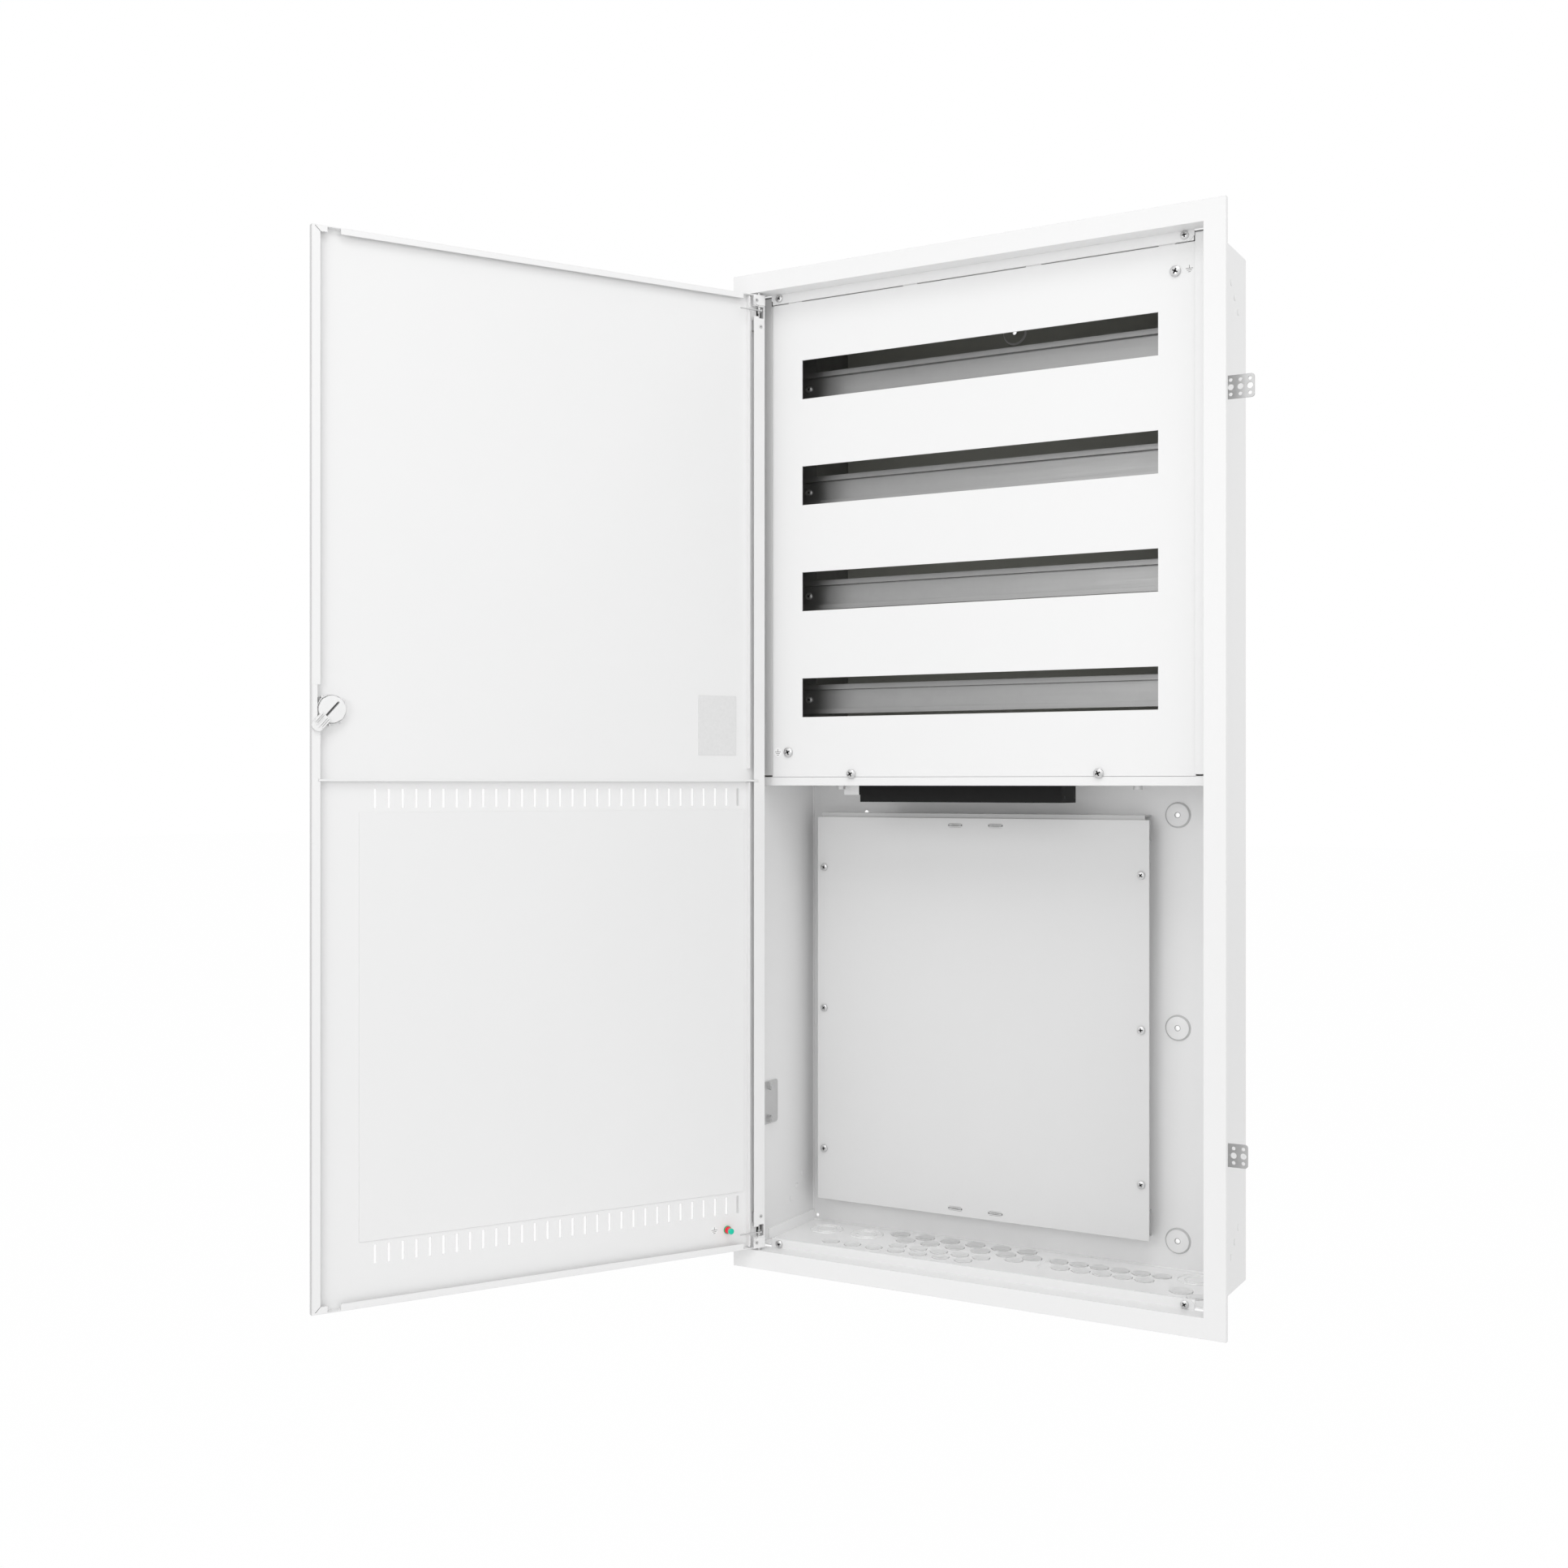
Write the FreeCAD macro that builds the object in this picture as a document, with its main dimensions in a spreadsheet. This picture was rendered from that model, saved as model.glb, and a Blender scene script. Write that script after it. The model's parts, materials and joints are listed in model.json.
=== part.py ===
import FreeCAD, Part
import os

import Sketcher
from FreeCAD import Placement, Rotation, Vector

# Flush-mounted wall cabinet: a sheet steel box that is let into a wall, a front frame around
# its mouth, a slotted cover over four mounting rails in the upper half, an equipment plate in
# the lower half and a hinged door with a quarter-turn latch.
#
# X runs to the right and Y into the wall. Z is up. The origin is the centre of the box's back
# face. Places on the front are measured from the frame's front face, lower edge and openings.
# Door pieces are drawn as on the closed door, around the hinge axis, and each one's Placement
# swings it open.

table = (
    ("cabinet_depth", "156.6", "front of the frame to the back of the box"),
    ("box_width", "546.2", "outside of the box"),
    ("box_height", "1128.5", "outside of the box"),
    ("box_sheet", "1.2", "steel sheet of the box"),
    ("end_flange", "12.8", "flange of the end plates on the side walls"),
    ("return_step", "0.5", "frame's opening inside the box's side walls"),
    ("opening_above_box", "0.4", "frame's opening above the box"),
    ("opening_below_box", "1.7", "frame's opening below the box"),
    ("frame_side_border", "23.6", "frame's edge to its opening"),
    ("frame_top_border", "22.6", "frame's edge to its opening"),
    ("frame_bottom_border", "21.8", "frame's edge to its opening"),
    ("frame_sheet", "1.2", "steel sheet of the frame"),
    ("frame_lip", "6.3", "frame's outer edge, folded back"),
    ("return_depth", "22", "frame's inner edge, folded back"),
    ("rail_face", "10.9", "height of the frame's cross rails"),
    ("rail_end_gap", "15.9", "cross rails' ends to the sides of the opening"),
    ("rail_corner", "5", "corner cut from the cross rails"),
    ("rail_screw_inset", "10.5", "screw to the end of the cross rail"),
    ("rail_screw_drop", "4.6", "screw to the edge of the opening"),
    ("cover_setback", "1.8", "cross rails' back to the cover's front"),
    ("cover_sheet", "1", "steel sheet of the cover"),
    ("cover_side_gap", "15.3", "cover to the sides of the opening"),
    ("cover_top_gap", "3", "cross rail to the cover's upper edge"),
    ("cover_rear_gap", "0.2", "cover to the tabs behind it"),
    ("row_top_margin", "89.6", "cover's upper edge to the first row"),
    ("row_bottom_margin", "92.9", "last row to the cover's lower edge"),
    ("row_pitch", "125", "one row of modules to the next"),
    ("row_count", "4", "rows of modules"),
    ("slot_margin", "40.6", "cover's side edges to the module slots, 24 modules long"),
    ("slot_height", "45.7", "module slot"),
    ("hook_width", "18", "hooks on the cover's upper edge"),
    ("hook_height", "9", "hooks on the cover's upper edge"),
    ("hook_inset", "31.1", "outer hooks to the cover's side edges"),
    ("hook_count", "4", "hooks on the cover's upper edge"),
    ("cover_flange", "10", "cover's side edges, folded back"),
    ("cover_flange_end", "60", "end of those flanges to the cover's corners"),
    ("cover_screw_inset", "21.8", "cover screw to the cover's side edge"),
    ("cover_screw_drop", "26.4", "upper cover screw to the upper edge"),
    ("cover_screw_rise", "28.8", "lower cover screw to the lower edge"),
    ("captive_inset", "106.1", "captive screws to the cover's side edges"),
    ("captive_rise", "2.7", "captive screws above the cover's lower edge"),
    ("strip_gap", "1.5", "side strip to the cover"),
    ("strip_sheet", "1", "steel sheet of the side strips"),
    ("strip_leg", "16", "side strip's leg on the side wall"),
    ("strip_corner", "5", "corner cut from the strip's upper end"),
    ("tab_height", "24", "tabs that take the cover screws"),
    ("shelf_gap", "0.4", "cover to the shelf's front flange"),
    ("shelf_flange", "10.2", "height of the shelf's front flange"),
    ("shelf_sheet", "1.2", "steel sheet of the shelf"),
    ("shelf_rear_flange", "14", "shelf's flange on the back wall"),
    ("shelf_bolt_inset", "89.9", "bolts below the shelf to the side walls"),
    ("shelf_bolt_recess", "60", "frame front to those bolts"),
    ("entry_left", "162", "cabinet's middle to the entry's left end"),
    ("entry_right", "90.4", "cabinet's middle to the entry's right end"),
    ("entry_recess", "70", "frame front to the cable entry"),
    ("entry_depth", "45", "front to back of the cable entry"),
    ("entry_height", "19.4", "below the shelf"),
    ("entry_wall", "6", "wall of the cable entry"),
    ("entry_end", "9", "solid right end of the cable entry"),
    ("entry_step", "1.5", "entry's upper collar beyond its left end"),
    ("entry_collar", "11", "height of that collar"),
    ("brush_gap", "8", "between the two brushes"),
    ("brush_height", "6", "brushes"),
    ("bracket_width", "20", "bracket beside the cable entry"),
    ("bracket_length", "26", "front to back of that bracket"),
    ("din_recess", "67", "frame front to the mounting rails"),
    ("din_end_gap", "31.9", "mounting rail to the side walls"),
    ("din_width", "35", "mounting rail"),
    ("din_mouth", "25", "between the rail's brims, behind them"),
    ("din_depth", "7.5", "mounting rail"),
    ("din_sheet", "1", "mounting rail"),
    ("din_screw_inset", "7", "mounting rail's screws to its ends"),
    ("upright_width", "20", "uprights that carry the rails"),
    ("upright_sheet", "1.5", "steel sheet of the uprights"),
    ("upright_margin", "18", "upright's end to the end plate or shelf"),
    ("plate_left_gap", "19.9", "left side wall to the equipment plate"),
    ("plate_right_gap", "100.3", "equipment plate to the right side wall"),
    ("plate_floor_gap", "34.1", "floor to the equipment plate"),
    ("plate_shelf_gap", "38.7", "equipment plate to the shelf"),
    ("plate_standoff", "25.4", "plate's face to the back wall"),
    ("plate_sheet", "1.5", "steel sheet of the plate"),
    ("plate_screw_inset", "9.2", "plate screws to the plate's side edges"),
    ("plate_screw_end", "62.45", "plate's ends to the nearest screws"),
    ("plate_slot_length", "19", "slots near the plate's ends"),
    ("plate_slot_height", "5", "slots near the plate's ends"),
    ("plate_slot_pitch", "51.6", "one slot to the next"),
    ("plate_slot_inset", "8.5", "slots to the plate's ends"),
    ("carrier_width", "18", "upright brackets behind the plate"),
    ("carrier_inset", "2", "those brackets to the plate's side edges"),
    ("carrier_foot", "12", "their feet on the back wall"),
    ("carrier_sheet", "1.5", "steel sheet of everything behind the plate"),
    ("tie_height", "30", "cross channels behind the plate"),
    ("tie_above_plate", "5.4", "upper cross channel above the plate"),
    ("tie_inset", "5.5", "cross channels' ends to the plate's edges"),
    ("fixing_inset", "74.9", "wall fixings to the side walls"),
    ("fixing_floor_gap", "32.3", "lowest wall fixings above the floor"),
    ("fixing_shelf_gap", "33.2", "highest ones of that group below the shelf"),
    ("fixing_hole", "2.75", "radius of a wall fixing hole"),
    ("upper_fixing_drop", "68.9", "upper wall fixing to the frame's upper edge"),
    ("drain_hole", "2", "radius of the hole in the lower left corner"),
    ("drain_inset", "6", "that hole to the box's corner"),
    ("anchor_top_inset", "185.45", "upper wall anchors' clamps to the frame's upper edge"),
    ("anchor_bottom_inset", "189.45", "lower wall anchors' clamps to the frame's lower edge"),
    ("anchor_drop", "4", "strap below the middle of its clamp"),
    ("anchor_height", "24.6", "wall anchor strap"),
    ("upper_anchor_reach", "42.3", "upper straps, out from the box"),
    ("lower_anchor_reach", "35.3", "lower straps, out from the box"),
    ("anchor_recess", "33", "frame front to the straps"),
    ("anchor_sheet", "1.5", "steel sheet of the straps"),
    ("anchor_corner", "3.2", "radius of the strap's corners"),
    ("anchor_hole", "2", "radius of the strap's small holes"),
    ("anchor_nail_hole", "3.2", "radius of the strap's large holes"),
    ("anchor_column_pitch", "10.1", "one column of strap holes to the next"),
    ("anchor_row_pitch", "7.5", "one row of strap holes to the next"),
    ("anchor_hole_edge", "4.7", "strap's outer end to its holes"),
    ("clamp_recess", "30", "frame front to the clamp plates"),
    ("clamp_length", "32.3", "clamp plates, front to back"),
    ("clamp_height", "51.4", "clamp plates"),
    ("clamp_corner", "4", "radius of the clamp plates' rear corners"),
    ("clamp_bolt_pitch", "39.2", "between the two bolts of a clamp"),
    ("clamp_bolt_recess", "41.5", "frame front to those bolts"),
    ("door_gap", "3", "door to the frame's opening, all round"),
    ("door_depth", "7", "thickness of the door"),
    ("door_sheet", "1", "steel sheet of the door"),
    ("door_open", "120", "how far the door stands open"),
    ("pivot_inset", "6", "hinge axis to the door's edge"),
    ("pivot_depth", "4.2", "hinge axis behind the door's face"),
    ("hinge_lip", "14.3", "door's lip along the hinge"),
    ("free_lip", "9.3", "door's lip along the free edge"),
    ("top_lip", "6.5", "door's upper lip"),
    ("bottom_lip", "7.5", "door's lower lip"),
    ("lip_start", "28.2", "hinge edge to the upper and lower lips"),
    ("lip_notch_inset", "30.7", "free edge to the notches in those lips"),
    ("lip_notch_width", "14", "those notches"),
    ("mitre_half", "0.5", "half of the slits in the lips' corners, along either lip"),
    ("mitre_reach", "5.66", "length of those slits, along either lip"),
    ("leg_start", "19.7", "hinge edge to the stiffener's leg"),
    ("leg_sheet", "1.4", "stiffener along the hinge"),
    ("leg_top_gap", "2.4", "stiffener to the door's upper edge"),
    ("leg_break", "15.8", "gap in the leg at the cross rib"),
    ("rib_start", "8.7", "hinge edge to the cross rib"),
    ("rib_end", "7.2", "cross rib to the free edge"),
    ("rib_sheet", "2", "cross rib"),
    ("rib_height", "6.4", "cross rib above the door's skin"),
    ("rib_drop", "4.9", "cross rib below the cover's lower edge"),
    ("vent_count", "30", "vent slots in a row"),
    ("vent_start", "33.2", "hinge edge to the first vent slot"),
    ("vent_end", "68.6", "last vent slot to the free edge"),
    ("vent_width", "3", "vent slot"),
    ("vent_height", "20.3", "vent slot"),
    ("upper_vent_drop", "9", "upper vents below the cross rib"),
    ("lower_vent_rise", "42.9", "lower vents above the door's lower edge"),
    ("panel_start", "25", "hinge edge to the inner panel"),
    ("panel_end", "51.3", "inner panel to the free edge"),
    ("panel_sheet", "0.8", "inner panel"),
    ("panel_gap", "4.3", "inner panel to the vents"),
    ("label_start", "35.5", "hinge edge to the label plate"),
    ("label_width", "49.8", "label plate"),
    ("label_height", "69.7", "label plate"),
    ("label_rise", "29.7", "label plate above the cross rib"),
    ("label_sheet", "0.5", "label plate"),
    ("leaf_width", "15.3", "hinge leaf"),
    ("leaf_height", "12", "hinge leaf"),
    ("leaf_sheet", "1", "hinge leaf"),
    ("leaf_corner", "4.5", "corner cut from the hinge leaf"),
    ("leaf_screw_start", "11.2", "hinge edge to the leaf's screw"),
    ("leaf_screw_end", "6.7", "leaf's screw to the door's end"),
    ("lip_cut", "25.2", "door's end to the full hinge lip"),
    ("window_start", "1.5", "hinge edge to the pin's window"),
    ("window_end", "8.1", "far side of the pin's window"),
    ("window_near", "13.8", "door's end to the pin's window"),
    ("window_far", "27.2", "door's end to the window's other side"),
    ("seat_screw_start", "5", "hinge edge to the spring seat's screw"),
    ("seat_screw_end", "37", "door's end to that screw"),
    ("seat_near", "30", "door's end to the spring seat"),
    ("seat_far", "42", "door's end to the spring seat's far side"),
    ("seat_bore", "5.2", "depth of the hole in the spring seat"),
    ("guide_far", "13", "door's end to the pin guide's far side"),
    ("pin_radius", "1.75", "hinge pin"),
    ("pin_tip", "5.6", "pin beyond the door's end"),
    ("pin_tail_radius", "0.9", "thin end of the hinge pin"),
    ("pin_tail_end", "31", "door's end to the pin's thin end"),
    ("pin_shoulder", "20.8", "door's end to the pin's shoulder"),
    ("pin_handle", "18.6", "door's end to the pin's handle"),
    ("pin_handle_end", "33.4", "hinge edge to the handle's end"),
    ("pin_boss_radius", "1.2", "pin's arm between its shank and its handle"),
    ("pin_handle_rise", "1.5", "handle's middle above the door's lips"),
    ("pin_clearance", "0.1", "around the hinge pins and their shanks"),
    ("spring_wire", "0.3", "radius of the spring's wire"),
    ("spring_radius", "1.35", "middle of the wire to the pin's axis"),
    ("spring_turns", "6", "turns of the spring"),
    ("latch_inset", "21.3", "latch to the free edge"),
    ("latch_rise", "73.6", "latch above the cross rib"),
    ("latch_disc_radius", "15.5", "inside of the latch"),
    ("latch_disc_rise", "2", "latch disc above the door's lips"),
    ("latch_disc_height", "5", "latch disc"),
    ("tongue_reach", "26.5", "latch's middle to the tongue's nose"),
    ("tongue_half", "8", "half the tongue's width"),
    ("tongue_corner", "3", "corners cut from the tongue"),
    ("tongue_gap", "0.5", "door's lips to the tongue"),
    ("tongue_sheet", "3", "thickness of the tongue"),
    ("tongue_angle", "45", "tongue below the level"),
    ("groove_length", "20", "groove in the latch disc"),
    ("groove_width", "2.6", "groove in the latch disc"),
    ("groove_depth", "1.5", "groove in the latch disc"),
    ("barrel_radius", "9", "latch housing through the door"),
    ("spindle_radius", "6", "latch spindle"),
    ("bezel_radius", "18", "latch housing outside the door"),
    ("bezel_height", "3", "latch housing outside the door"),
    ("knob_radius", "12.7", "latch knob"),
    ("knob_grip_height", "3", "grip on the latch knob"),
    ("knob_grip_width", "5", "grip on the latch knob"),
    ("latch_clearance", "0.2", "around the turning pieces of the latch"),
    ("latch_notch_below", "9.7", "notch in the free lip below the latch"),
    ("latch_notch_above", "25.3", "notch in the free lip above the latch"),
    ("strike_half", "13", "half the height of the strike slot"),
    ("strike_clearance", "1", "strike slot around the tongue"),
    ("stud_start", "47.1", "hinge edge to the earth stud"),
    ("stud_rise", "25", "earth stud above the door's lower edge"),
    ("stud_radius", "3", "earth stud's free end"),
    ("stud_thread", "3.4", "length of that end"),
    ("stud_neck", "2.4", "radius of the stud below it"),
    ("stud_height", "11", "earth stud above the door's skin"),
    ("ring_radius", "5.4", "ring at the foot of the earth stud"),
    ("washer_radius", "4.6", "washer on the earth stud"),
    ("cap_radius", "4.2", "cap on the earth stud"),
    ("mark_start", "64.3", "hinge edge to the earth mark"),
    ("mark_rise", "26.2", "earth mark above the door's lower edge"),
    ("mark_radius", "4.5", "earth mark"),
    ("mark_sheet", "0.3", "earth mark"),
    ("screw_clearance", "0.15", "around the shanks of screws"),
    ("recess_reach", "0.55", "cross recess, as a share of the head's radius"),
    ("recess_half", "0.13", "half the width of its arms, as a share of that radius"),
    ("recess_depth", "0.6", "cross recess, as a share of the head's height"),
    ("frame_head", "4.5", "radius of a frame screw's head"),
    ("frame_shank", "1.5", "radius of its shank"),
    ("frame_head_height", "2.4", "height of its head"),
    ("frame_tail", "8", "shank beyond the box's flange"),
    ("cover_head", "5.8", "radius of a cover screw's head"),
    ("cover_shank", "2.5", "radius of its shank"),
    ("cover_head_height", "3", "height of its head"),
    ("cover_tail", "9", "shank beyond the tab"),
    ("captive_head", "5.5", "radius of a captive screw's head"),
    ("captive_shank", "2", "radius of its shank"),
    ("captive_head_height", "5", "height of its head"),
    ("captive_tail", "6", "shank beyond the tab"),
    ("bolt_head", "5", "radius of a shelf bolt's head and nut"),
    ("bolt_shank", "2.5", "radius of its shank"),
    ("bolt_head_height", "4.4", "height of its head"),
    ("bolt_nut_height", "4", "height of its nut"),
    ("rail_head", "4.3", "radius of a mounting rail screw's head"),
    ("rail_shank", "2", "radius of its shank"),
    ("rail_head_height", "2.5", "height of its head"),
    ("rail_tail", "6", "shank beyond the upright"),
    ("plate_head", "4.5", "radius of a plate screw's head"),
    ("plate_shank", "2", "radius of its shank"),
    ("plate_head_height", "2.6", "height of its head"),
    ("plate_tail", "6", "shank beyond the channel"),
    ("clamp_head", "5", "radius of a clamp bolt's head"),
    ("clamp_shank", "2.5", "radius of its shank"),
    ("clamp_head_height", "2.8", "height of its head"),
    ("clamp_nut", "4.6", "middle of its nut to a corner"),
    ("clamp_nut_height", "4", "height of its nut"),
    ("clamp_bolt_tail", "1", "shank beyond the nut"),
    ("nut_side", "0.866", "hexagon's side middle, as a share of its corner radius"),
    ("clamp_room", "1", "side strip to the clamp plates"),
    ("leaf_head", "2.3", "radius of a hinge screw's head"),
    ("leaf_shank", "1.2", "radius of its shank"),
    ("leaf_head_height", "0.5", "height of its head"),
    ("leaf_screw_rest", "1", "hinge screw's tip to the door's skin"),
    ("earth_layer", "1.6", "ring and washer on the earth stud"),
    ("earth_cap_height", "4", "cap on the earth stud"),
)

doc = FreeCAD.newDocument("wall_cabinet")
sheet = doc.addObject("Spreadsheet::Sheet", "Dim")


class Size:
    """A length: the spreadsheet expression that gives it, and its value now."""

    def __init__(self, text, value):
        self.text = text
        self.value = value

    def __add__(self, other):
        other = size(other)
        return Size("(%s + %s)" % (self.text, other.text), self.value + other.value)

    def __sub__(self, other):
        other = size(other)
        return Size("(%s - %s)" % (self.text, other.text), self.value - other.value)

    def __mul__(self, other):
        other = size(other)
        return Size("%s * %s" % (self.text, other.text), self.value * other.value)

    def __truediv__(self, other):
        other = size(other)
        return Size("%s / %s" % (self.text, other.text), self.value / other.value)

    def __neg__(self):
        return Size("(0 - %s)" % self.text, -self.value)

    __radd__ = __add__
    __rmul__ = __mul__


def size(value):
    """A plain number, or a Size as it is."""
    if isinstance(value, Size):
        return value
    if value < 0:
        return Size("(0 - %g)" % -value, float(value))
    return Size("%g" % value, float(value))


class Dimensions:
    """The cells of the spreadsheet by name."""


dim = Dimensions()
for line, (name, text, note) in enumerate(table, 1):
    sheet.set("A%d" % line, name)
    sheet.set("B%d" % line, text)
    sheet.set("C%d" % line, note)
    sheet.setAlias("B%d" % line, name)
    setattr(dim, name, Size("Dim." + name, float(text)))
doc.recompute()

nodes = []
turns = {"x": Rotation(Vector(0, 1, 0), 90), "y": Rotation(Vector(1, 0, 0), -90), "z": Rotation()}
planes = {
    "xy": (Rotation(), Vector(0, 0, 1)),
    "xz": (Rotation(Vector(1, 0, 0), 90), Vector(0, 1, 0)),
    "yz": (Rotation(Vector(1, 1, 1), 120), Vector(1, 0, 0)),
}


def ordered(span):
    """The two ends of a span, the lower one first."""
    return sorted((size(span[0]), size(span[1])), key=lambda end: end.value)


def both(value):
    """A span that is symmetric about zero."""
    return (-size(value), size(value))


def around(middle, half):
    """A span about a middle."""
    return (middle - half, middle + half)


def block(x, y, z):
    """Box that fills a span along each axis."""
    solid = doc.addObject("Part::Box", "Block")
    for side, axis, span in zip(("Length", "Width", "Height"), "xyz", (x, y, z)):
        low, high = ordered(span)
        solid.setExpression(side, (high - low).text)
        solid.setExpression("Placement.Base." + axis, low.text)
    return solid


def rod(axis, centre, radius, span):
    """Cylinder along an axis. Its centre is given on the other two axes, in order."""
    low, high = ordered(span)
    places = dict(zip([letter for letter in "xyz" if letter != axis], centre))
    places[axis] = low
    solid = doc.addObject("Part::Cylinder", "Rod")
    solid.Placement = Placement(Vector(), turns[axis])
    solid.setExpression("Radius", size(radius).text)
    solid.setExpression("Height", (high - low).text)
    for letter, place in places.items():
        solid.setExpression("Placement.Base." + letter, size(place).text)
    return solid


def rectangle(across, up):
    """Four corners, for a sketch."""
    left, right = ordered(across)
    low, high = ordered(up)
    return ((left, low), (right, low), (right, high), (left, high))


def draw(sketch, loops):
    """Closed outlines of straight lines, or a circle given as (centre, radius)."""
    for loop in loops:
        first = sketch.GeometryCount
        if len(loop) == 2:
            centre, radius = loop
            middle = Vector(size(centre[0]).value, size(centre[1]).value, 0)
            sketch.addGeometry(Part.Circle(middle, Vector(0, 0, 1), size(radius).value))
            rule = sketch.addConstraint(Sketcher.Constraint("Radius", first, size(radius).value))
            sketch.setExpression("Constraints[%d]" % rule, size(radius).text)
            fix_point(sketch, first, 3, centre)
            continue
        corners = [Vector(size(a).value, size(b).value, 0) for a, b in loop]
        for index, corner in enumerate(corners):
            sketch.addGeometry(Part.LineSegment(corner, corners[(index + 1) % len(corners)]))
        for index, place in enumerate(loop):
            following = first + (index + 1) % len(loop)
            sketch.addConstraint(Sketcher.Constraint("Coincident", first + index, 2, following, 1))
            fix_point(sketch, first + index, 1, place)


def fix_point(sketch, geometry, end, place):
    """Hold one point of a sketch at its distances from the sketch's origin."""
    for kind, distance in zip(("DistanceX", "DistanceY"), place):
        distance = size(distance)
        rule = sketch.addConstraint(
            Sketcher.Constraint(kind, -1, 1, geometry, end, distance.value))
        sketch.setExpression("Constraints[%d]" % rule, distance.text)


def prism(plane, points, span):
    """Outline on a plane, filled along the third axis."""
    low, high = ordered(span)
    turn, direction = planes[plane]
    sketch = doc.addObject("Sketcher::SketchObject", "Outline")
    sketch.Placement = Placement(Vector(), turn)
    axis = ("x", "y", "z")[(direction.x, direction.y, direction.z).index(1)]
    sketch.setExpression("Placement.Base." + axis, low.text)
    draw(sketch, [points])
    solid = doc.addObject("Part::Extrusion", "Prism")
    solid.Base = sketch
    solid.DirMode = "Custom"
    solid.Dir = direction
    solid.Solid = True
    solid.setExpression("LengthFwd", (high - low).text)
    return solid


def fuse(*pieces):
    """One solid of several that touch."""
    if len(pieces) == 1:
        return pieces[0]
    solid = doc.addObject("Part::MultiFuse", "Fuse")
    solid.Shapes = list(pieces)
    return solid


def cut(base, *tools):
    """A solid without others."""
    solid = doc.addObject("Part::Cut", "Cut")
    solid.Base = base
    solid.Tool = fuse(*tools)
    return solid


def group(*pieces):
    """Separate solids that share one place."""
    solid = doc.addObject("Part::Compound", "Group")
    solid.Links = list(pieces)
    return solid


def folded(name):
    """Body for a piece made from flat sheet."""
    body = doc.addObject("PartDesign::Body", name)
    body.AllowCompound = True
    return body


def sketch_in(body, plane, loops, start):
    """Sketch on one of a body's planes, moved along the third axis."""
    role = {"xy": "XY_Plane", "xz": "XZ_Plane", "yz": "YZ_Plane"}[plane]
    origin_plane = [item for item in body.Origin.OriginFeatures if item.Role == role][0]
    sketch = body.newObject("Sketcher::SketchObject", "Sketch")
    sketch.AttachmentSupport = [(origin_plane, "")]
    sketch.MapMode = "FlatFace"
    away = -start if plane == "xz" else start
    sketch.setExpression("AttachmentOffset.Base.z", away.text)
    draw(sketch, loops)
    return sketch


def add(body, plane, span, *loops):
    """Pad outlines over a span of the third axis."""
    low, high = ordered(span)
    pad = body.newObject("PartDesign::Pad", "Pad")
    pad.Profile = sketch_in(body, plane, loops, low)
    pad.Reversed = plane == "xz"
    pad.setExpression("Length", (high - low).text)
    return pad


def remove(body, plane, span, *loops):
    """Pocket outlines over a span of the third axis."""
    low, high = ordered(span)
    pocket = body.newObject("PartDesign::Pocket", "Pocket")
    pocket.Profile = sketch_in(body, plane, loops, low)
    pocket.Reversed = plane != "xz"
    pocket.setExpression("Length", (high - low).text)
    return pocket


def repeat(body, feature, axis, pitch, count):
    """Copies of a feature in a straight row."""
    pattern = body.newObject("PartDesign::LinearPattern", "Row")
    pattern.Originals = [feature]
    pattern.Direction = (feature.Profile[0], [axis])
    pattern.setExpression("Length", (pitch * (count - 1)).text)
    pattern.setExpression("Occurrences", count.text)
    body.Tip = pattern
    return pattern


def node(label, solid):
    """Name a finished sub-part."""
    solid.Label = label
    nodes.append(solid)
    return solid


def on_door(solid):
    """Swing a piece that is drawn around the hinge axis to where the door stands."""
    solid.Placement = Placement()
    solid.setExpression("Placement.Base.x", pivot_x.text)
    solid.setExpression("Placement.Base.y", pivot_y.text)
    solid.setExpression("Placement.Rotation.Angle", (-dim.door_open).text)
    return solid


def cross_recess(axis, centre, radius, face, depth):
    """Two crossed grooves in a screw's head."""
    arm = radius * dim.recess_reach
    half = radius * dim.recess_half
    grooves = []
    for wide, high in ((arm, half), (half, arm)):
        spans = [around(centre[0], wide), around(centre[1], high)]
        spans.insert("xyz".index(axis), (face, depth))
        grooves.append(block(*spans))
    return grooves


def screw(axis, centre, head_radius, shank_radius, head, under_head, tip):
    """Screw along an axis: head between two levels, shank to a third."""
    body = fuse(rod(axis, centre, head_radius, (head, under_head)),
                rod(axis, centre, shank_radius, (under_head, tip)))
    recess_floor = head + (under_head - head) * dim.recess_depth
    return cut(body, *cross_recess(axis, centre, head_radius, head, recess_floor))


# Levels from front to back.
face = -dim.cabinet_depth
return_end = face + dim.return_depth
rail_rear = return_end + dim.frame_sheet
cover_front = rail_rear + dim.cover_setback
cover_rear = cover_front + dim.cover_sheet
tab_front = cover_rear + dim.cover_rear_gap
back_inside = -dim.box_sheet
entry_front = face + dim.entry_recess
entry_rear = entry_front + dim.entry_depth
plate_front = back_inside - dim.plate_standoff

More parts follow.
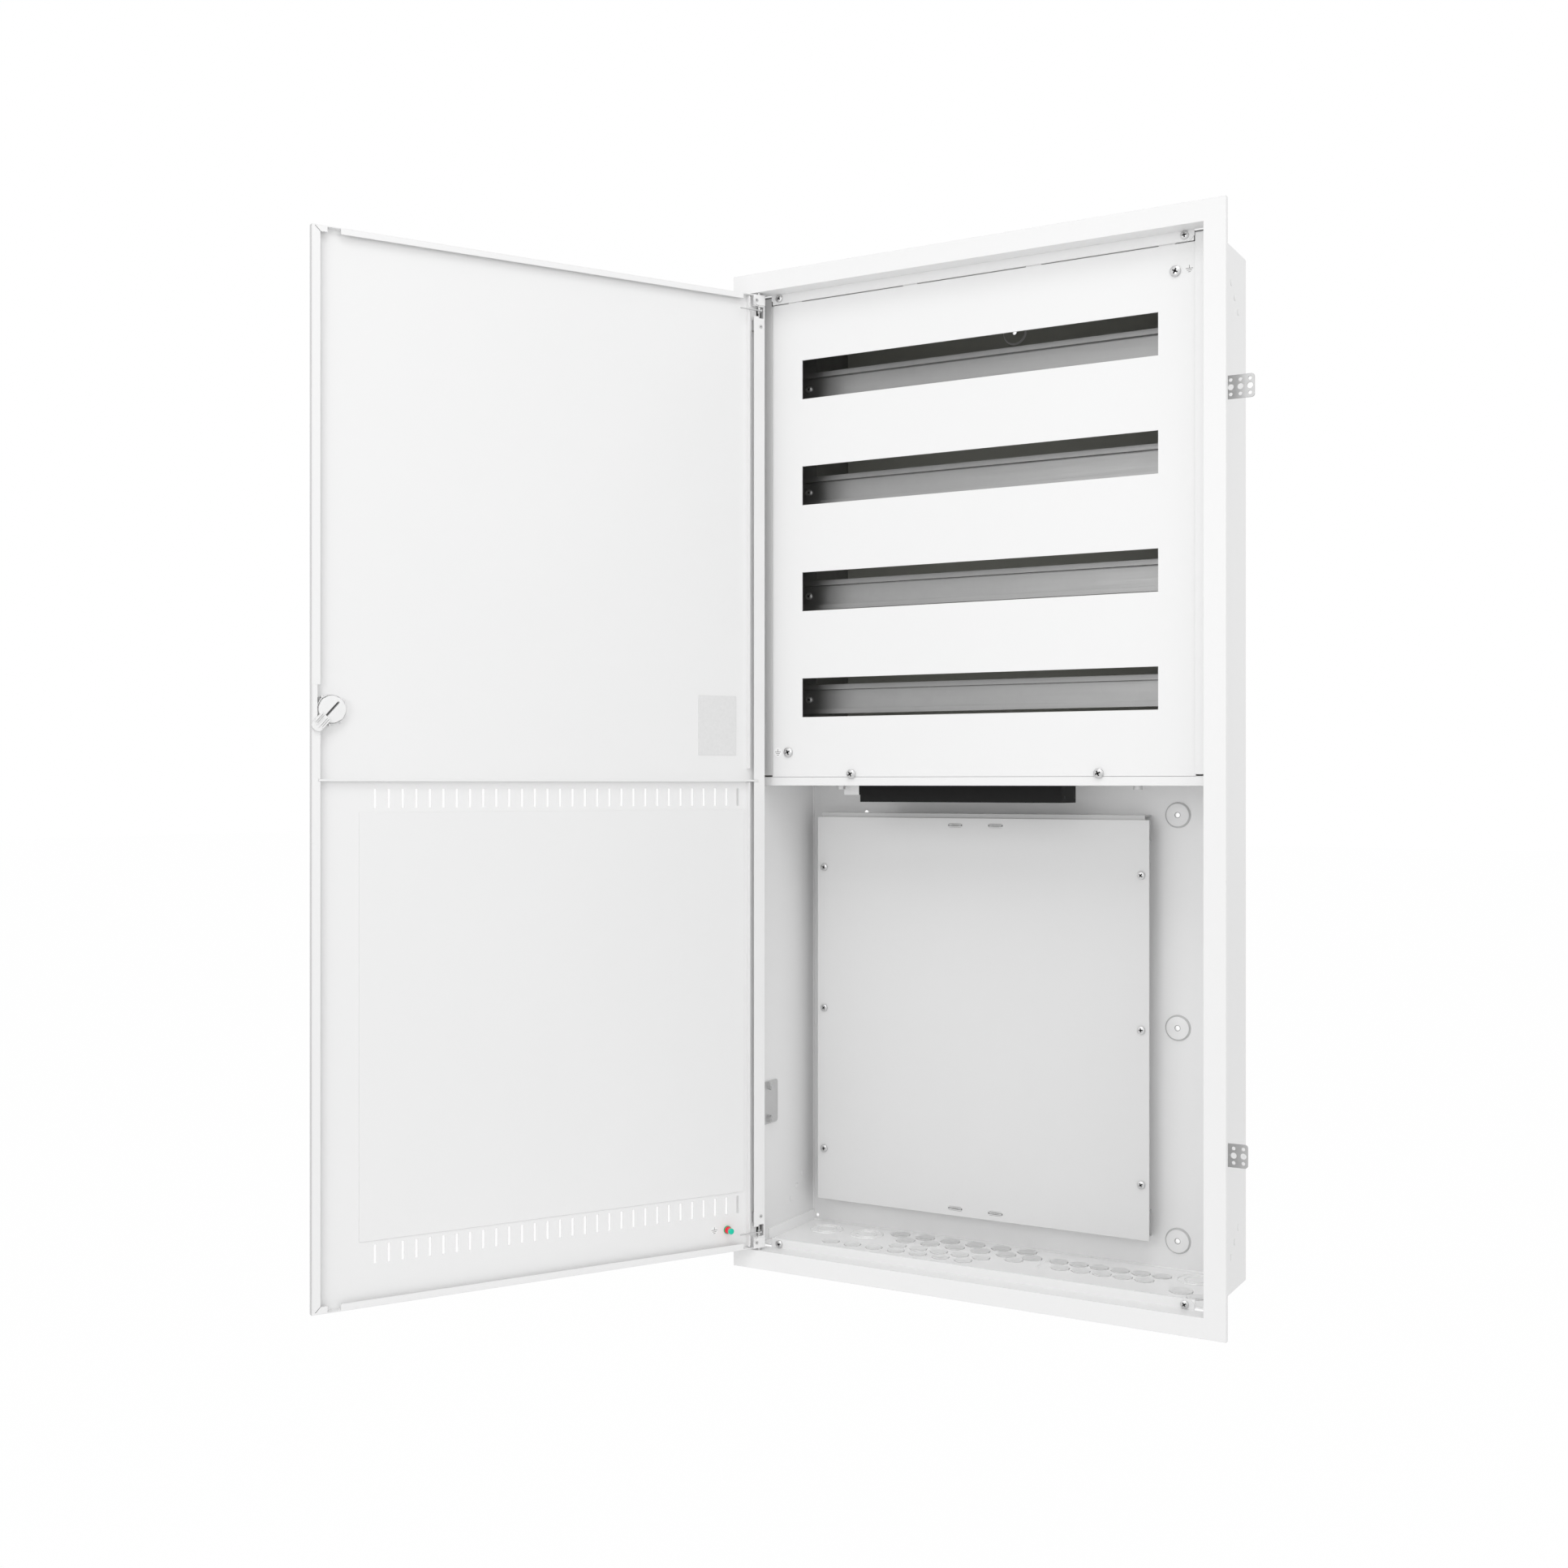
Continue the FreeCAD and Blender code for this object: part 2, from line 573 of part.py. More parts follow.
# Levels from bottom to top.
box_top = dim.box_height / 2
box_bottom = -box_top
floor_top = box_bottom + dim.box_sheet
ceiling = box_top - dim.box_sheet
opening_bottom = box_bottom - dim.opening_below_box
opening_top = box_top + dim.opening_above_box
frame_bottom = opening_bottom - dim.frame_bottom_border
frame_top = opening_top + dim.frame_top_border
rail_edge = opening_top - dim.rail_face
cover_top = rail_edge - dim.cover_top_gap
cover_height = dim.row_top_margin + dim.row_pitch * (dim.row_count - 1) + dim.row_bottom_margin
cover_bottom = cover_top - cover_height
shelf_flange_top = cover_bottom - dim.shelf_gap
shelf_under = shelf_flange_top - dim.shelf_flange
shelf_top = shelf_under + dim.shelf_sheet
door_bottom = opening_bottom + dim.door_gap
door_top = opening_top - dim.door_gap
rib_middle = cover_bottom - dim.rib_drop
latch_middle = rib_middle + dim.latch_rise
plate_low = floor_top + dim.plate_floor_gap
plate_high = shelf_under - dim.plate_shelf_gap
plate_middle = (plate_low + plate_high) / 2
captive_level = cover_bottom + dim.captive_rise
anchor_levels = (frame_bottom + dim.anchor_bottom_inset, frame_top - dim.anchor_top_inset)
fixing_ends = (floor_top + dim.fixing_floor_gap, shelf_under - dim.fixing_shelf_gap)
fixing_levels = (fixing_ends[0], (fixing_ends[0] + fixing_ends[1]) / 2, fixing_ends[1])
row_levels = [cover_top - dim.row_top_margin - dim.row_pitch * row
              for row in range(int(dim.row_count.value))]

# Levels across.
box_side = dim.box_width / 2
wall_inside = box_side - dim.box_sheet
opening_side = wall_inside - dim.return_step
frame_side = opening_side + dim.frame_side_border
rail_side = opening_side - dim.rail_end_gap
rail_screw_x = rail_side - dim.rail_screw_inset
cover_side = opening_side - dim.cover_side_gap
strip_edge = cover_side + dim.strip_gap
din_side = wall_inside - dim.din_end_gap
upright_middle = din_side - dim.din_screw_inset
captive_x = cover_side - dim.captive_inset
shelf_bolt_x = wall_inside - dim.shelf_bolt_inset
fixing_x = wall_inside - dim.fixing_inset
plate_left = -wall_inside + dim.plate_left_gap
plate_right = wall_inside - dim.plate_right_gap
entry_inside = (-dim.entry_left + dim.entry_wall, dim.entry_right - dim.entry_end)

# The door and its hinge axis.
door_width = opening_side * 2 - dim.door_gap * 2
pivot_x = -opening_side + dim.door_gap + dim.pivot_inset
pivot_y = face + dim.pivot_depth
latch_start = door_width - dim.latch_inset
tongue_low = dim.door_depth + dim.tongue_gap
tongue_high = tongue_low + dim.tongue_sheet
vent_pitch = (door_width - dim.vent_start - dim.vent_end) / (dim.vent_count - 1)
vent_low = door_bottom + dim.lower_vent_rise
upper_vent_low = rib_middle - dim.upper_vent_drop - dim.vent_height


def along(distance):
    """Place along the closed door, from its hinge edge, around the hinge axis."""
    return size(distance) - dim.pivot_inset


def level(distance):
    """Place behind the closed door's face, around the hinge axis."""
    return size(distance) - dim.pivot_depth


def back_shell():
    """Back and side walls, folded from one sheet."""
    body = folded("BackShell")
    add(body, "xz", (back_inside, 0), rectangle(both(box_side), both(box_top)))
    for side in (-1, 1):
        wall = (wall_inside * side, box_side * side)
        add(body, "xz", (return_end, back_inside), rectangle(wall, both(box_top)))
    holes = []
    for height in fixing_levels:
        for side in (-1, 1):
            holes.append(((fixing_x * side, height), dim.fixing_hole))
    holes.append(((size(0), frame_top - dim.upper_fixing_drop), dim.fixing_hole))
    corner = (-wall_inside + dim.drain_inset, floor_top + dim.drain_inset)
    holes.append((corner, dim.drain_hole))
    remove(body, "xz", (back_inside, 0), *holes)
    bolts = []
    for height in anchor_levels:
        for side in (-1, 1):
            place = (face + dim.clamp_bolt_recess, height + dim.clamp_bolt_pitch / 2 * side)
            bolts.append((place, dim.clamp_shank + dim.screw_clearance))
    remove(body, "yz", both(box_side), *bolts)
    node("back_shell", body)


def end_plate(label, inside, outside, edge):
    """Top or bottom of the box, with flanges on the side walls and behind the cross rail."""
    body = folded("EndPlate")
    inward = -1 if inside.value > 0 else 1
    add(body, "xy", (inside, outside), rectangle(both(wall_inside), (rail_rear, back_inside)))
    flange_end = inside + dim.end_flange * inward
    flange_start = tab_front + dim.strip_leg
    for side in (-1, 1):
        across = (wall_inside * side, (wall_inside - dim.box_sheet) * side)
        add(body, "xy", (inside, flange_end), rectangle(across, (flange_start, back_inside)))
    front = rectangle(both(rail_side), (inside, edge))
    add(body, "xz", (rail_rear, rail_rear + dim.box_sheet), front)
    screws = [((rail_screw_x * side, edge_screw(edge, inward)), dim.frame_shank + dim.screw_clearance)
              for side in (-1, 1)]
    remove(body, "xz", (rail_rear, rail_rear + dim.box_sheet), *screws)
    node(label, body)


def edge_screw(edge, inward):
    """Height of the screws in a cross rail, given the rail's inner edge."""
    return edge - (dim.rail_face - dim.rail_screw_drop) * inward


def front_frame():
    """Frame around the box's mouth with folded edges and two cross rails."""
    body = folded("FrontFrame")
    outer = rectangle(both(frame_side), (frame_bottom, frame_top))
    opening = rectangle(both(opening_side), (opening_bottom, opening_top))
    add(body, "xz", (face, face + dim.frame_sheet), outer, opening)
    inner_edge = rectangle(both(frame_side - dim.frame_sheet),
                           (frame_bottom + dim.frame_sheet, frame_top - dim.frame_sheet))
    add(body, "xz", (face, face + dim.frame_lip), outer, inner_edge)
    return_side = opening_side + dim.frame_sheet
    return_low = opening_bottom - dim.frame_sheet
    return_high = opening_top + dim.frame_sheet
    around_opening = rectangle(both(return_side), (return_low, return_high))
    add(body, "xz", (face, return_end), around_opening, opening)
    for low, edge in ((return_low, opening_bottom + dim.rail_face), (return_high, rail_edge)):
        slope = dim.rail_corner if edge.value < 0 else -dim.rail_corner
        outline = ((-rail_side, low), (rail_side, low), (rail_side, edge - slope),
                   (rail_side - dim.rail_corner, edge), (-rail_side + dim.rail_corner, edge),
                   (-rail_side, edge - slope))
        add(body, "xz", (return_end, rail_rear), outline)
    levels = (opening_bottom + dim.rail_screw_drop, opening_top - dim.rail_screw_drop)
    screws = [((rail_screw_x * way, height), dim.frame_shank + dim.screw_clearance)
              for height in levels for way in (-1, 1)]
    remove(body, "xz", (return_end, rail_rear), *screws)
    pin_hole = ((pivot_x, pivot_y), dim.pin_radius + dim.pin_clearance)
    for low, high in ((return_low, opening_bottom), (opening_top, return_high)):
        remove(body, "xy", (low, high), pin_hole)
    slot_y = (face + tongue_low - dim.strike_clearance, face + tongue_high + dim.strike_clearance)
    slot = rectangle(slot_y, around(latch_middle, dim.strike_half))
    remove(body, "yz", (opening_side, return_side), slot)
    node("front_frame", body)


def frame_screws():
    """Four screws through the cross rails into the end plates."""
    levels = (opening_bottom + dim.rail_screw_drop, opening_top - dim.rail_screw_drop)
    head = return_end - dim.frame_head_height
    tip = rail_rear + dim.box_sheet + dim.frame_tail
    screws = [screw("y", (rail_screw_x * side, height), dim.frame_head, dim.frame_shank,
                    head, return_end, tip)
              for height in levels for side in (-1, 1)]
    node("frame_screws", group(*screws))


def side_strip(label, side):
    """Angle strip beside the cover, with a tab that takes one cover screw."""
    body = folded("SideStrip")
    low = cover_bottom + dim.strip_gap
    outline = ((strip_edge * side, low), (wall_inside * side, low),
               (wall_inside * side, ceiling), ((strip_edge + dim.strip_corner) * side, ceiling),
               (strip_edge * side, ceiling - dim.strip_corner))
    front = (rail_rear, rail_rear + dim.strip_sheet)
    add(body, "xz", front, outline)
    leg = (wall_inside * side, (wall_inside - dim.strip_sheet) * side)
    add(body, "xz", (front[1], tab_front + dim.strip_leg), rectangle(leg, (low, ceiling)))
    behind = (face + dim.clamp_recess - dim.clamp_room, tab_front + dim.strip_leg)
    beside = around(anchor_levels[1], dim.clamp_height / 2 + dim.clamp_room)
    remove(body, "xz", behind, rectangle(leg, beside))
    height = cover_screw_place(side)[1]
    tab = ((cover_side - dim.cover_screw_inset - dim.tab_height / 2) * side,
           (wall_inside - dim.strip_sheet) * side)
    tab_span = (tab_front, tab_front + dim.strip_sheet)
    add(body, "xz", tab_span, rectangle(tab, around(height, dim.tab_height / 2)))
    hole = (cover_screw_place(side), dim.cover_shank + dim.screw_clearance)
    remove(body, "xz", tab_span, hole)
    node(label, body)


def cover_screw_place(side):
    """The upper cover screw is on the right and the lower one on the left."""
    if side > 0:
        return (cover_side - dim.cover_screw_inset, cover_top - dim.cover_screw_drop)
    return (-cover_side + dim.cover_screw_inset, cover_bottom + dim.cover_screw_rise)


def module_cover():
    """Cover with one slot for each row of modules."""
    body = folded("ModuleCover")
    add(body, "xz", (cover_front, cover_rear), rectangle(both(cover_side), (cover_bottom, cover_top)))
    slot = rectangle(both(cover_side - dim.slot_margin), around(row_levels[-1], dim.slot_height / 2))
    pocket = remove(body, "xz", (cover_front, cover_rear), slot)
    repeat(body, pocket, "V_Axis", dim.row_pitch, dim.row_count)
    first_hook = -cover_side + dim.hook_inset
    hook_pitch = -first_hook * 2 / (dim.hook_count - 1)
    hook = rectangle(around(first_hook, dim.hook_width / 2), (cover_top, cover_top + dim.hook_height))
    pad = add(body, "xz", (cover_front, cover_rear), hook)
    repeat(body, pad, "H_Axis", hook_pitch, dim.hook_count)
    for side in (-1, 1):
        across = (cover_side * side, (cover_side - dim.cover_sheet) * side)
        up = (cover_bottom + dim.cover_flange_end, cover_top - dim.cover_flange_end)
        add(body, "xz", (cover_rear, cover_rear + dim.cover_flange), rectangle(across, up))
    holes = [(cover_screw_place(side), dim.cover_shank + dim.screw_clearance) for side in (-1, 1)]
    captive_hole = dim.captive_shank + dim.screw_clearance
    for side in (-1, 1):
        holes.append(((captive_x * side, captive_level), captive_hole))
    remove(body, "xz", (cover_front, cover_rear), *holes)
    node("module_cover", body)


def cover_screws():
    """Two earthed screws that hold the cover to the side strips' tabs."""
    tip = tab_front + dim.strip_sheet + dim.cover_tail
    screws = [screw("y", cover_screw_place(side), dim.cover_head, dim.cover_shank,
                    cover_front - dim.cover_head_height, cover_front, tip)
              for side in (-1, 1)]
    node("cover_screws", group(*screws))


def captive_screws():
    """Two knurled screws in the cover's lower edge."""
    tip = tab_front + dim.shelf_sheet + dim.captive_tail
    screws = []
    for side in (-1, 1):
        centre = (captive_x * side, captive_level)
        screws.append(screw("y", centre, dim.captive_head, dim.captive_shank,
                            cover_front - dim.captive_head_height, cover_front, tip))
    node("captive_screws", group(*screws))


def partition_shelf():
    """Shelf between the two compartments, with a cut-out for the cable entry."""
    body = folded("PartitionShelf")
    deep = rectangle(both(wall_inside), (cover_front, back_inside))
    add(body, "xy", (shelf_under, shelf_top), deep)
    flange = rectangle(both(wall_inside), (shelf_under, shelf_flange_top))
    add(body, "xz", (cover_front, cover_front + dim.shelf_sheet), flange)
    rear = rectangle(both(wall_inside), (shelf_under, shelf_under + dim.shelf_rear_flange))
    add(body, "xz", (back_inside - dim.shelf_sheet, back_inside), rear)
    tab_rear = tab_front + dim.shelf_sheet
    for side in (-1, 1):
        across = around(captive_x * side, dim.hook_width / 2)
        foot = rectangle(across, (shelf_under, shelf_flange_top))
        add(body, "xz", (cover_front, tab_rear), foot)
        tab = rectangle(across, (shelf_under, captive_level + dim.hook_width / 2))
        add(body, "xz", (tab_front, tab_rear), tab)
    centres = [(captive_x * side, captive_level) for side in (-1, 1)]
    holes = [(centre, dim.captive_shank + dim.screw_clearance) for centre in centres]
    remove(body, "xz", (tab_front, tab_rear), *holes)
    opening = rectangle((entry_inside[0], entry_inside[1]), (entry_front + dim.entry_wall,
                                                             entry_rear - dim.entry_wall))
    bolts = [((shelf_bolt_x * side, face + dim.shelf_bolt_recess),
              dim.bolt_shank + dim.screw_clearance) for side in (-1, 1)]
    remove(body, "xy", (shelf_under, shelf_top), opening, *bolts)
    node("partition_shelf", body)


def shelf_bolts():
    """Two bolts below the shelf, each with its nut above it."""
    bolts = []
    for side in (-1, 1):
        centre = (shelf_bolt_x * side, face + dim.shelf_bolt_recess)
        head = rod("z", centre, dim.bolt_head, (shelf_under - dim.bolt_head_height, shelf_under))
        shank = rod("z", centre, dim.bolt_shank, (shelf_under, shelf_top + dim.bolt_nut_height))
        bolts.append(fuse(head, shank))
    node("shelf_bolts", group(*bolts))
    nuts = []
    for side in (-1, 1):
        centre = (shelf_bolt_x * side, face + dim.shelf_bolt_recess)
        nuts.append(cut(rod("z", centre, dim.bolt_head, (shelf_top, shelf_top + dim.bolt_nut_height)),
                        rod("z", centre, dim.bolt_shank, (shelf_top, shelf_top + dim.bolt_nut_height))))
    node("shelf_nuts", group(*nuts))


def cable_entry():
    """Black frame with two brushes below the shelf's cut-out, and its bracket."""
    low = shelf_under - dim.entry_height
    collar_low = shelf_under - dim.entry_collar
    depth = (entry_front, entry_rear)
    inside = block(entry_inside, (entry_front + dim.entry_wall, entry_rear - dim.entry_wall),
                   (low, shelf_under))
    body = block((-dim.entry_left, dim.entry_right), depth, (low, shelf_under))
    collar = block((-dim.entry_left - dim.entry_step, dim.entry_right),
                   depth, (collar_low, shelf_under))
    node("cable_entry_frame", cut(fuse(body, collar), inside))
    middle = (entry_front + entry_rear) / 2
    strip = (low + dim.entry_wall, low + dim.entry_wall + dim.brush_height)
    front_brush = block(entry_inside, (entry_front + dim.entry_wall, middle - dim.brush_gap / 2), strip)
    rear_brush = block(entry_inside, (middle + dim.brush_gap / 2, entry_rear - dim.entry_wall), strip)
    node("cable_entry_brushes", group(front_brush, rear_brush))
    edge = -dim.entry_left - dim.entry_step
    across = (edge - dim.bracket_width, edge)
    back = (entry_front, entry_front + dim.bracket_length)
    upright = block((edge - dim.shelf_sheet, edge), back, (collar_low, shelf_under))
    front = block(across, (entry_front, entry_front + dim.shelf_sheet), (collar_low, shelf_under))
    top = block(across, back, (shelf_under - dim.shelf_sheet, shelf_under))
    node("cable_entry_bracket", fuse(upright, front, top))


def din_rail(row):
    """Mounting rail with brims, 35 mm wide."""
    body = folded("DinRail")
    brim = dim.din_width / 2
    mouth = dim.din_mouth / 2
    thin = dim.din_sheet
    outer = dim.din_depth
    profile = ((0, -brim), (thin, -brim), (thin, -mouth), (outer, -mouth), (outer, mouth),
               (thin, mouth), (thin, brim), (0, brim), (0, mouth - thin),
               (outer - thin, mouth - thin), (outer - thin, -mouth + thin), (0, -mouth + thin))
    add(body, "yz", both(din_side), profile)
    holes = [((upright_middle * side, 0), dim.rail_shank + dim.screw_clearance) for side in (-1, 1)]
    remove(body, "xz", (outer - thin, outer), *holes)
    body.setExpression("Placement.Base.y", (face + dim.din_recess).text)
    body.setExpression("Placement.Base.z", row_levels[row].text)
    node("din_rail_%d" % (row + 1), body)


def rail_upright(label, side):
    """Channel from the back wall to the mounting rails."""
    body = folded("RailUpright")
    low = shelf_under + dim.shelf_rear_flange + dim.upright_margin
    high = ceiling - dim.upright_margin
    middle = upright_middle * side
    front = face + dim.din_recess + dim.din_depth
    half = dim.upright_width / 2
    thin = dim.upright_sheet
    profile = ((middle - half, front), (middle + half, front), (middle + half, back_inside),
               (middle + half - thin, back_inside), (middle + half - thin, front + thin),
               (middle - half + thin, front + thin), (middle - half + thin, back_inside),
               (middle - half, back_inside))
    add(body, "xy", (low, high), profile)
    holes = [((middle, height), dim.rail_shank + dim.screw_clearance) for height in row_levels]
    remove(body, "xz", (front, front + thin), *holes)
    node(label, body)


def rail_screws():
    """Screws that hold each mounting rail to the uprights."""
    seat = face + dim.din_recess + dim.din_depth - dim.din_sheet
    tip = seat + dim.din_sheet + dim.upright_sheet + dim.rail_tail
    screws = [screw("y", (upright_middle * side, height), dim.rail_head, dim.rail_shank,
                    seat - dim.rail_head_height, seat, tip)
              for height in row_levels for side in (-1, 1)]
    node("rail_screws", group(*screws))


def mounting_plate():
    """Equipment plate with slots near its ends."""
    body = folded("MountingPlate")
    depth = (plate_front, plate_front + dim.plate_sheet)
    add(body, "xz", depth, rectangle((plate_left, plate_right), (plate_low, plate_high)))
    screws = [(place, dim.plate_shank + dim.screw_clearance) for place in plate_screw_places()]
    remove(body, "xz", depth, *screws)
    half = dim.plate_slot_height / 2
    straight = dim.plate_slot_length / 2 - half
    across = (plate_left + plate_right) / 2
    places = [(across + dim.plate_slot_pitch / 2 * side, height) for side in (-1, 1)
              for height in (plate_low + dim.plate_slot_inset, plate_high - dim.plate_slot_inset)]
    remove(body, "xz", depth, *[rectangle(around(x, straight), around(z, half)) for x, z in places])
    for side in (-1, 1):
        remove(body, "xz", depth, *[((x + straight * side, z), half) for x, z in places])
    node("mounting_plate", body)


def plate_screw_places():
    """Two columns of three screws."""
    columns = (plate_left + dim.plate_screw_inset, plate_right - dim.plate_screw_inset)
    levels = (plate_low + dim.plate_screw_end, plate_middle, plate_high - dim.plate_screw_end)
    return [(column, height) for column in columns for height in levels]


def plate_carriers():
    """Two cross channels and two upright brackets behind the equipment plate."""
    front = plate_front + dim.plate_sheet
    thin = dim.carrier_sheet
    tie_high = plate_high + dim.tie_above_plate
    ties = ((tie_high - dim.tie_height, tie_high), (plate_low, plate_low + dim.tie_height))
    across = (plate_left + dim.tie_inset, plate_right - dim.tie_inset)
    for label, up in zip(("plate_tie_top", "plate_tie_bottom"), ties):
        hollow = block(across, (front + thin, back_inside), (up[0] + thin, up[1] - thin))
        node(label, cut(block(across, (front, back_inside), up), hollow))
    up = (ties[1][1], ties[0][0])
    shank = dim.plate_shank + dim.screw_clearance
    sides = (("plate_carrier_left", plate_left + dim.carrier_inset, 1, 0),
             ("plate_carrier_right", plate_right - dim.carrier_inset, -1, 3))
    for label, edge, way, column in sides:
        inner = edge + dim.carrier_width * way
        web = block((edge, inner), (front, front + thin), up)
        leg = block((inner - thin * way, inner), (front, back_inside), up)
        foot = block((inner - thin * way, inner + dim.carrier_foot * way),
                     (back_inside - thin, back_inside), up)
        holes = [rod("y", place, shank, (front, front + thin))
                 for place in plate_screw_places()[column:column + 3]]
        node(label, cut(fuse(web, leg, foot), *holes))


def plate_screws():
    """Screws through the plate into the upright channels."""
    tip = plate_front + dim.plate_sheet + dim.carrier_sheet + dim.plate_tail
    screws = [screw("y", place, dim.plate_head, dim.plate_shank, plate_front - dim.plate_head_height,
                    plate_front, tip)
              for place in plate_screw_places()]
    node("plate_screws", group(*screws))


def rounded_end(body, span, root, end, up, radius):
    """Strap from its root to an end with two round corners."""
    way = 1 if end.value > root.value else -1
    low, high = ordered(up)
    add(body, "xz", span, rectangle((root, end - radius * way), up))
    add(body, "xz", span, rectangle((root, end), (low + radius, high - radius)))
    for height in (low + radius, high - radius):
        add(body, "xz", span, ((end - radius * way, height), radius))


def wall_anchor(label, side, height, reach):
    """Perforated strap that reaches from the box into the masonry."""
    body = folded("WallAnchor")
    near = box_side + dim.anchor_sheet
    far = box_side + reach
    middle = height - dim.anchor_drop
    front = (face + dim.anchor_recess, face + dim.anchor_recess + dim.anchor_sheet)
    up = around(middle, dim.anchor_height / 2)
    rounded_end(body, front, box_side * side, far * side, up, dim.anchor_corner)
    foot = rectangle((box_side * side, near * side), around(height, dim.clamp_height / 2))
    add(body, "xz", (front[0], face + dim.clamp_recess + dim.clamp_length), foot)
    holes = []
    for step in range(3):
        x = far - dim.anchor_hole_edge - dim.anchor_column_pitch * step
        if x.value - dim.anchor_nail_hole.value < near.value:
            continue
        holes.append(((x * side, middle), dim.anchor_nail_hole))
        for way in (-1, 1):
            holes.append(((x * side, middle + dim.anchor_row_pitch * way), dim.anchor_hole))
    remove(body, "xz", front, *holes)
    bolts = [((face + dim.clamp_bolt_recess, height + dim.clamp_bolt_pitch / 2 * way),
              dim.clamp_shank + dim.screw_clearance) for way in (-1, 1)]
    remove(body, "yz", (box_side * side, near * side), *bolts)
    node(label, body)


def hexagon(centre, radius):
    """Corners of a nut, two of them above and below its middle."""
    half = radius / 2
    side = radius * dim.nut_side
    steps = ((0, radius), (side, half), (side, -half), (0, -radius), (-side, -half), (-side, half))
    return tuple((centre[0] + a, centre[1] + b) for a, b in steps)


def anchor_clamps():
    """Clamp plates on the inside of the side walls, with nuts there and bolt heads outside."""
    plates = []
    bolts = []
    nuts = []
    front = face + dim.clamp_recess
    rear = front + dim.clamp_length
    corner = dim.clamp_corner
    half = dim.clamp_height / 2
    plate_in = wall_inside - dim.anchor_sheet
    nut_end = plate_in - dim.clamp_nut_height
    bolt_end = nut_end - dim.clamp_bolt_tail
    head_seat = box_side + dim.anchor_sheet
    head_end = head_seat + dim.clamp_head_height
    for side in (-1, 1):
        sheet_span = (wall_inside * side, plate_in * side)
        for height in anchor_levels:
            levels = (height - half + corner, height + half - corner)
            rounds = [rod("x", (rear - corner, level), corner, sheet_span) for level in levels]
            plate = fuse(block(sheet_span, (front, rear - corner), around(height, half)),
                         block(sheet_span, (front, rear), levels), *rounds)
            centres = [(face + dim.clamp_bolt_recess, height + dim.clamp_bolt_pitch / 2 * way)
                       for way in (-1, 1)]
            holes = [rod("x", centre, dim.clamp_shank + dim.screw_clearance, sheet_span)
                     for centre in centres]
            plates.append(cut(plate, *holes))
            for centre in centres:
                head = rod("x", centre, dim.clamp_head, (head_seat * side, head_end * side))
                shank = rod("x", centre, dim.clamp_shank, (bolt_end * side, head_seat * side))
                bolts.append(fuse(head, shank))
                span = (plate_in * side, nut_end * side)
                nut = prism("yz", hexagon(centre, dim.clamp_nut), span)
                nuts.append(cut(nut, rod("x", centre, dim.clamp_shank, span)))
    node("anchor_clamp_plates", group(*plates))
    node("anchor_bolts", group(*bolts))
    node("anchor_nuts", group(*nuts))


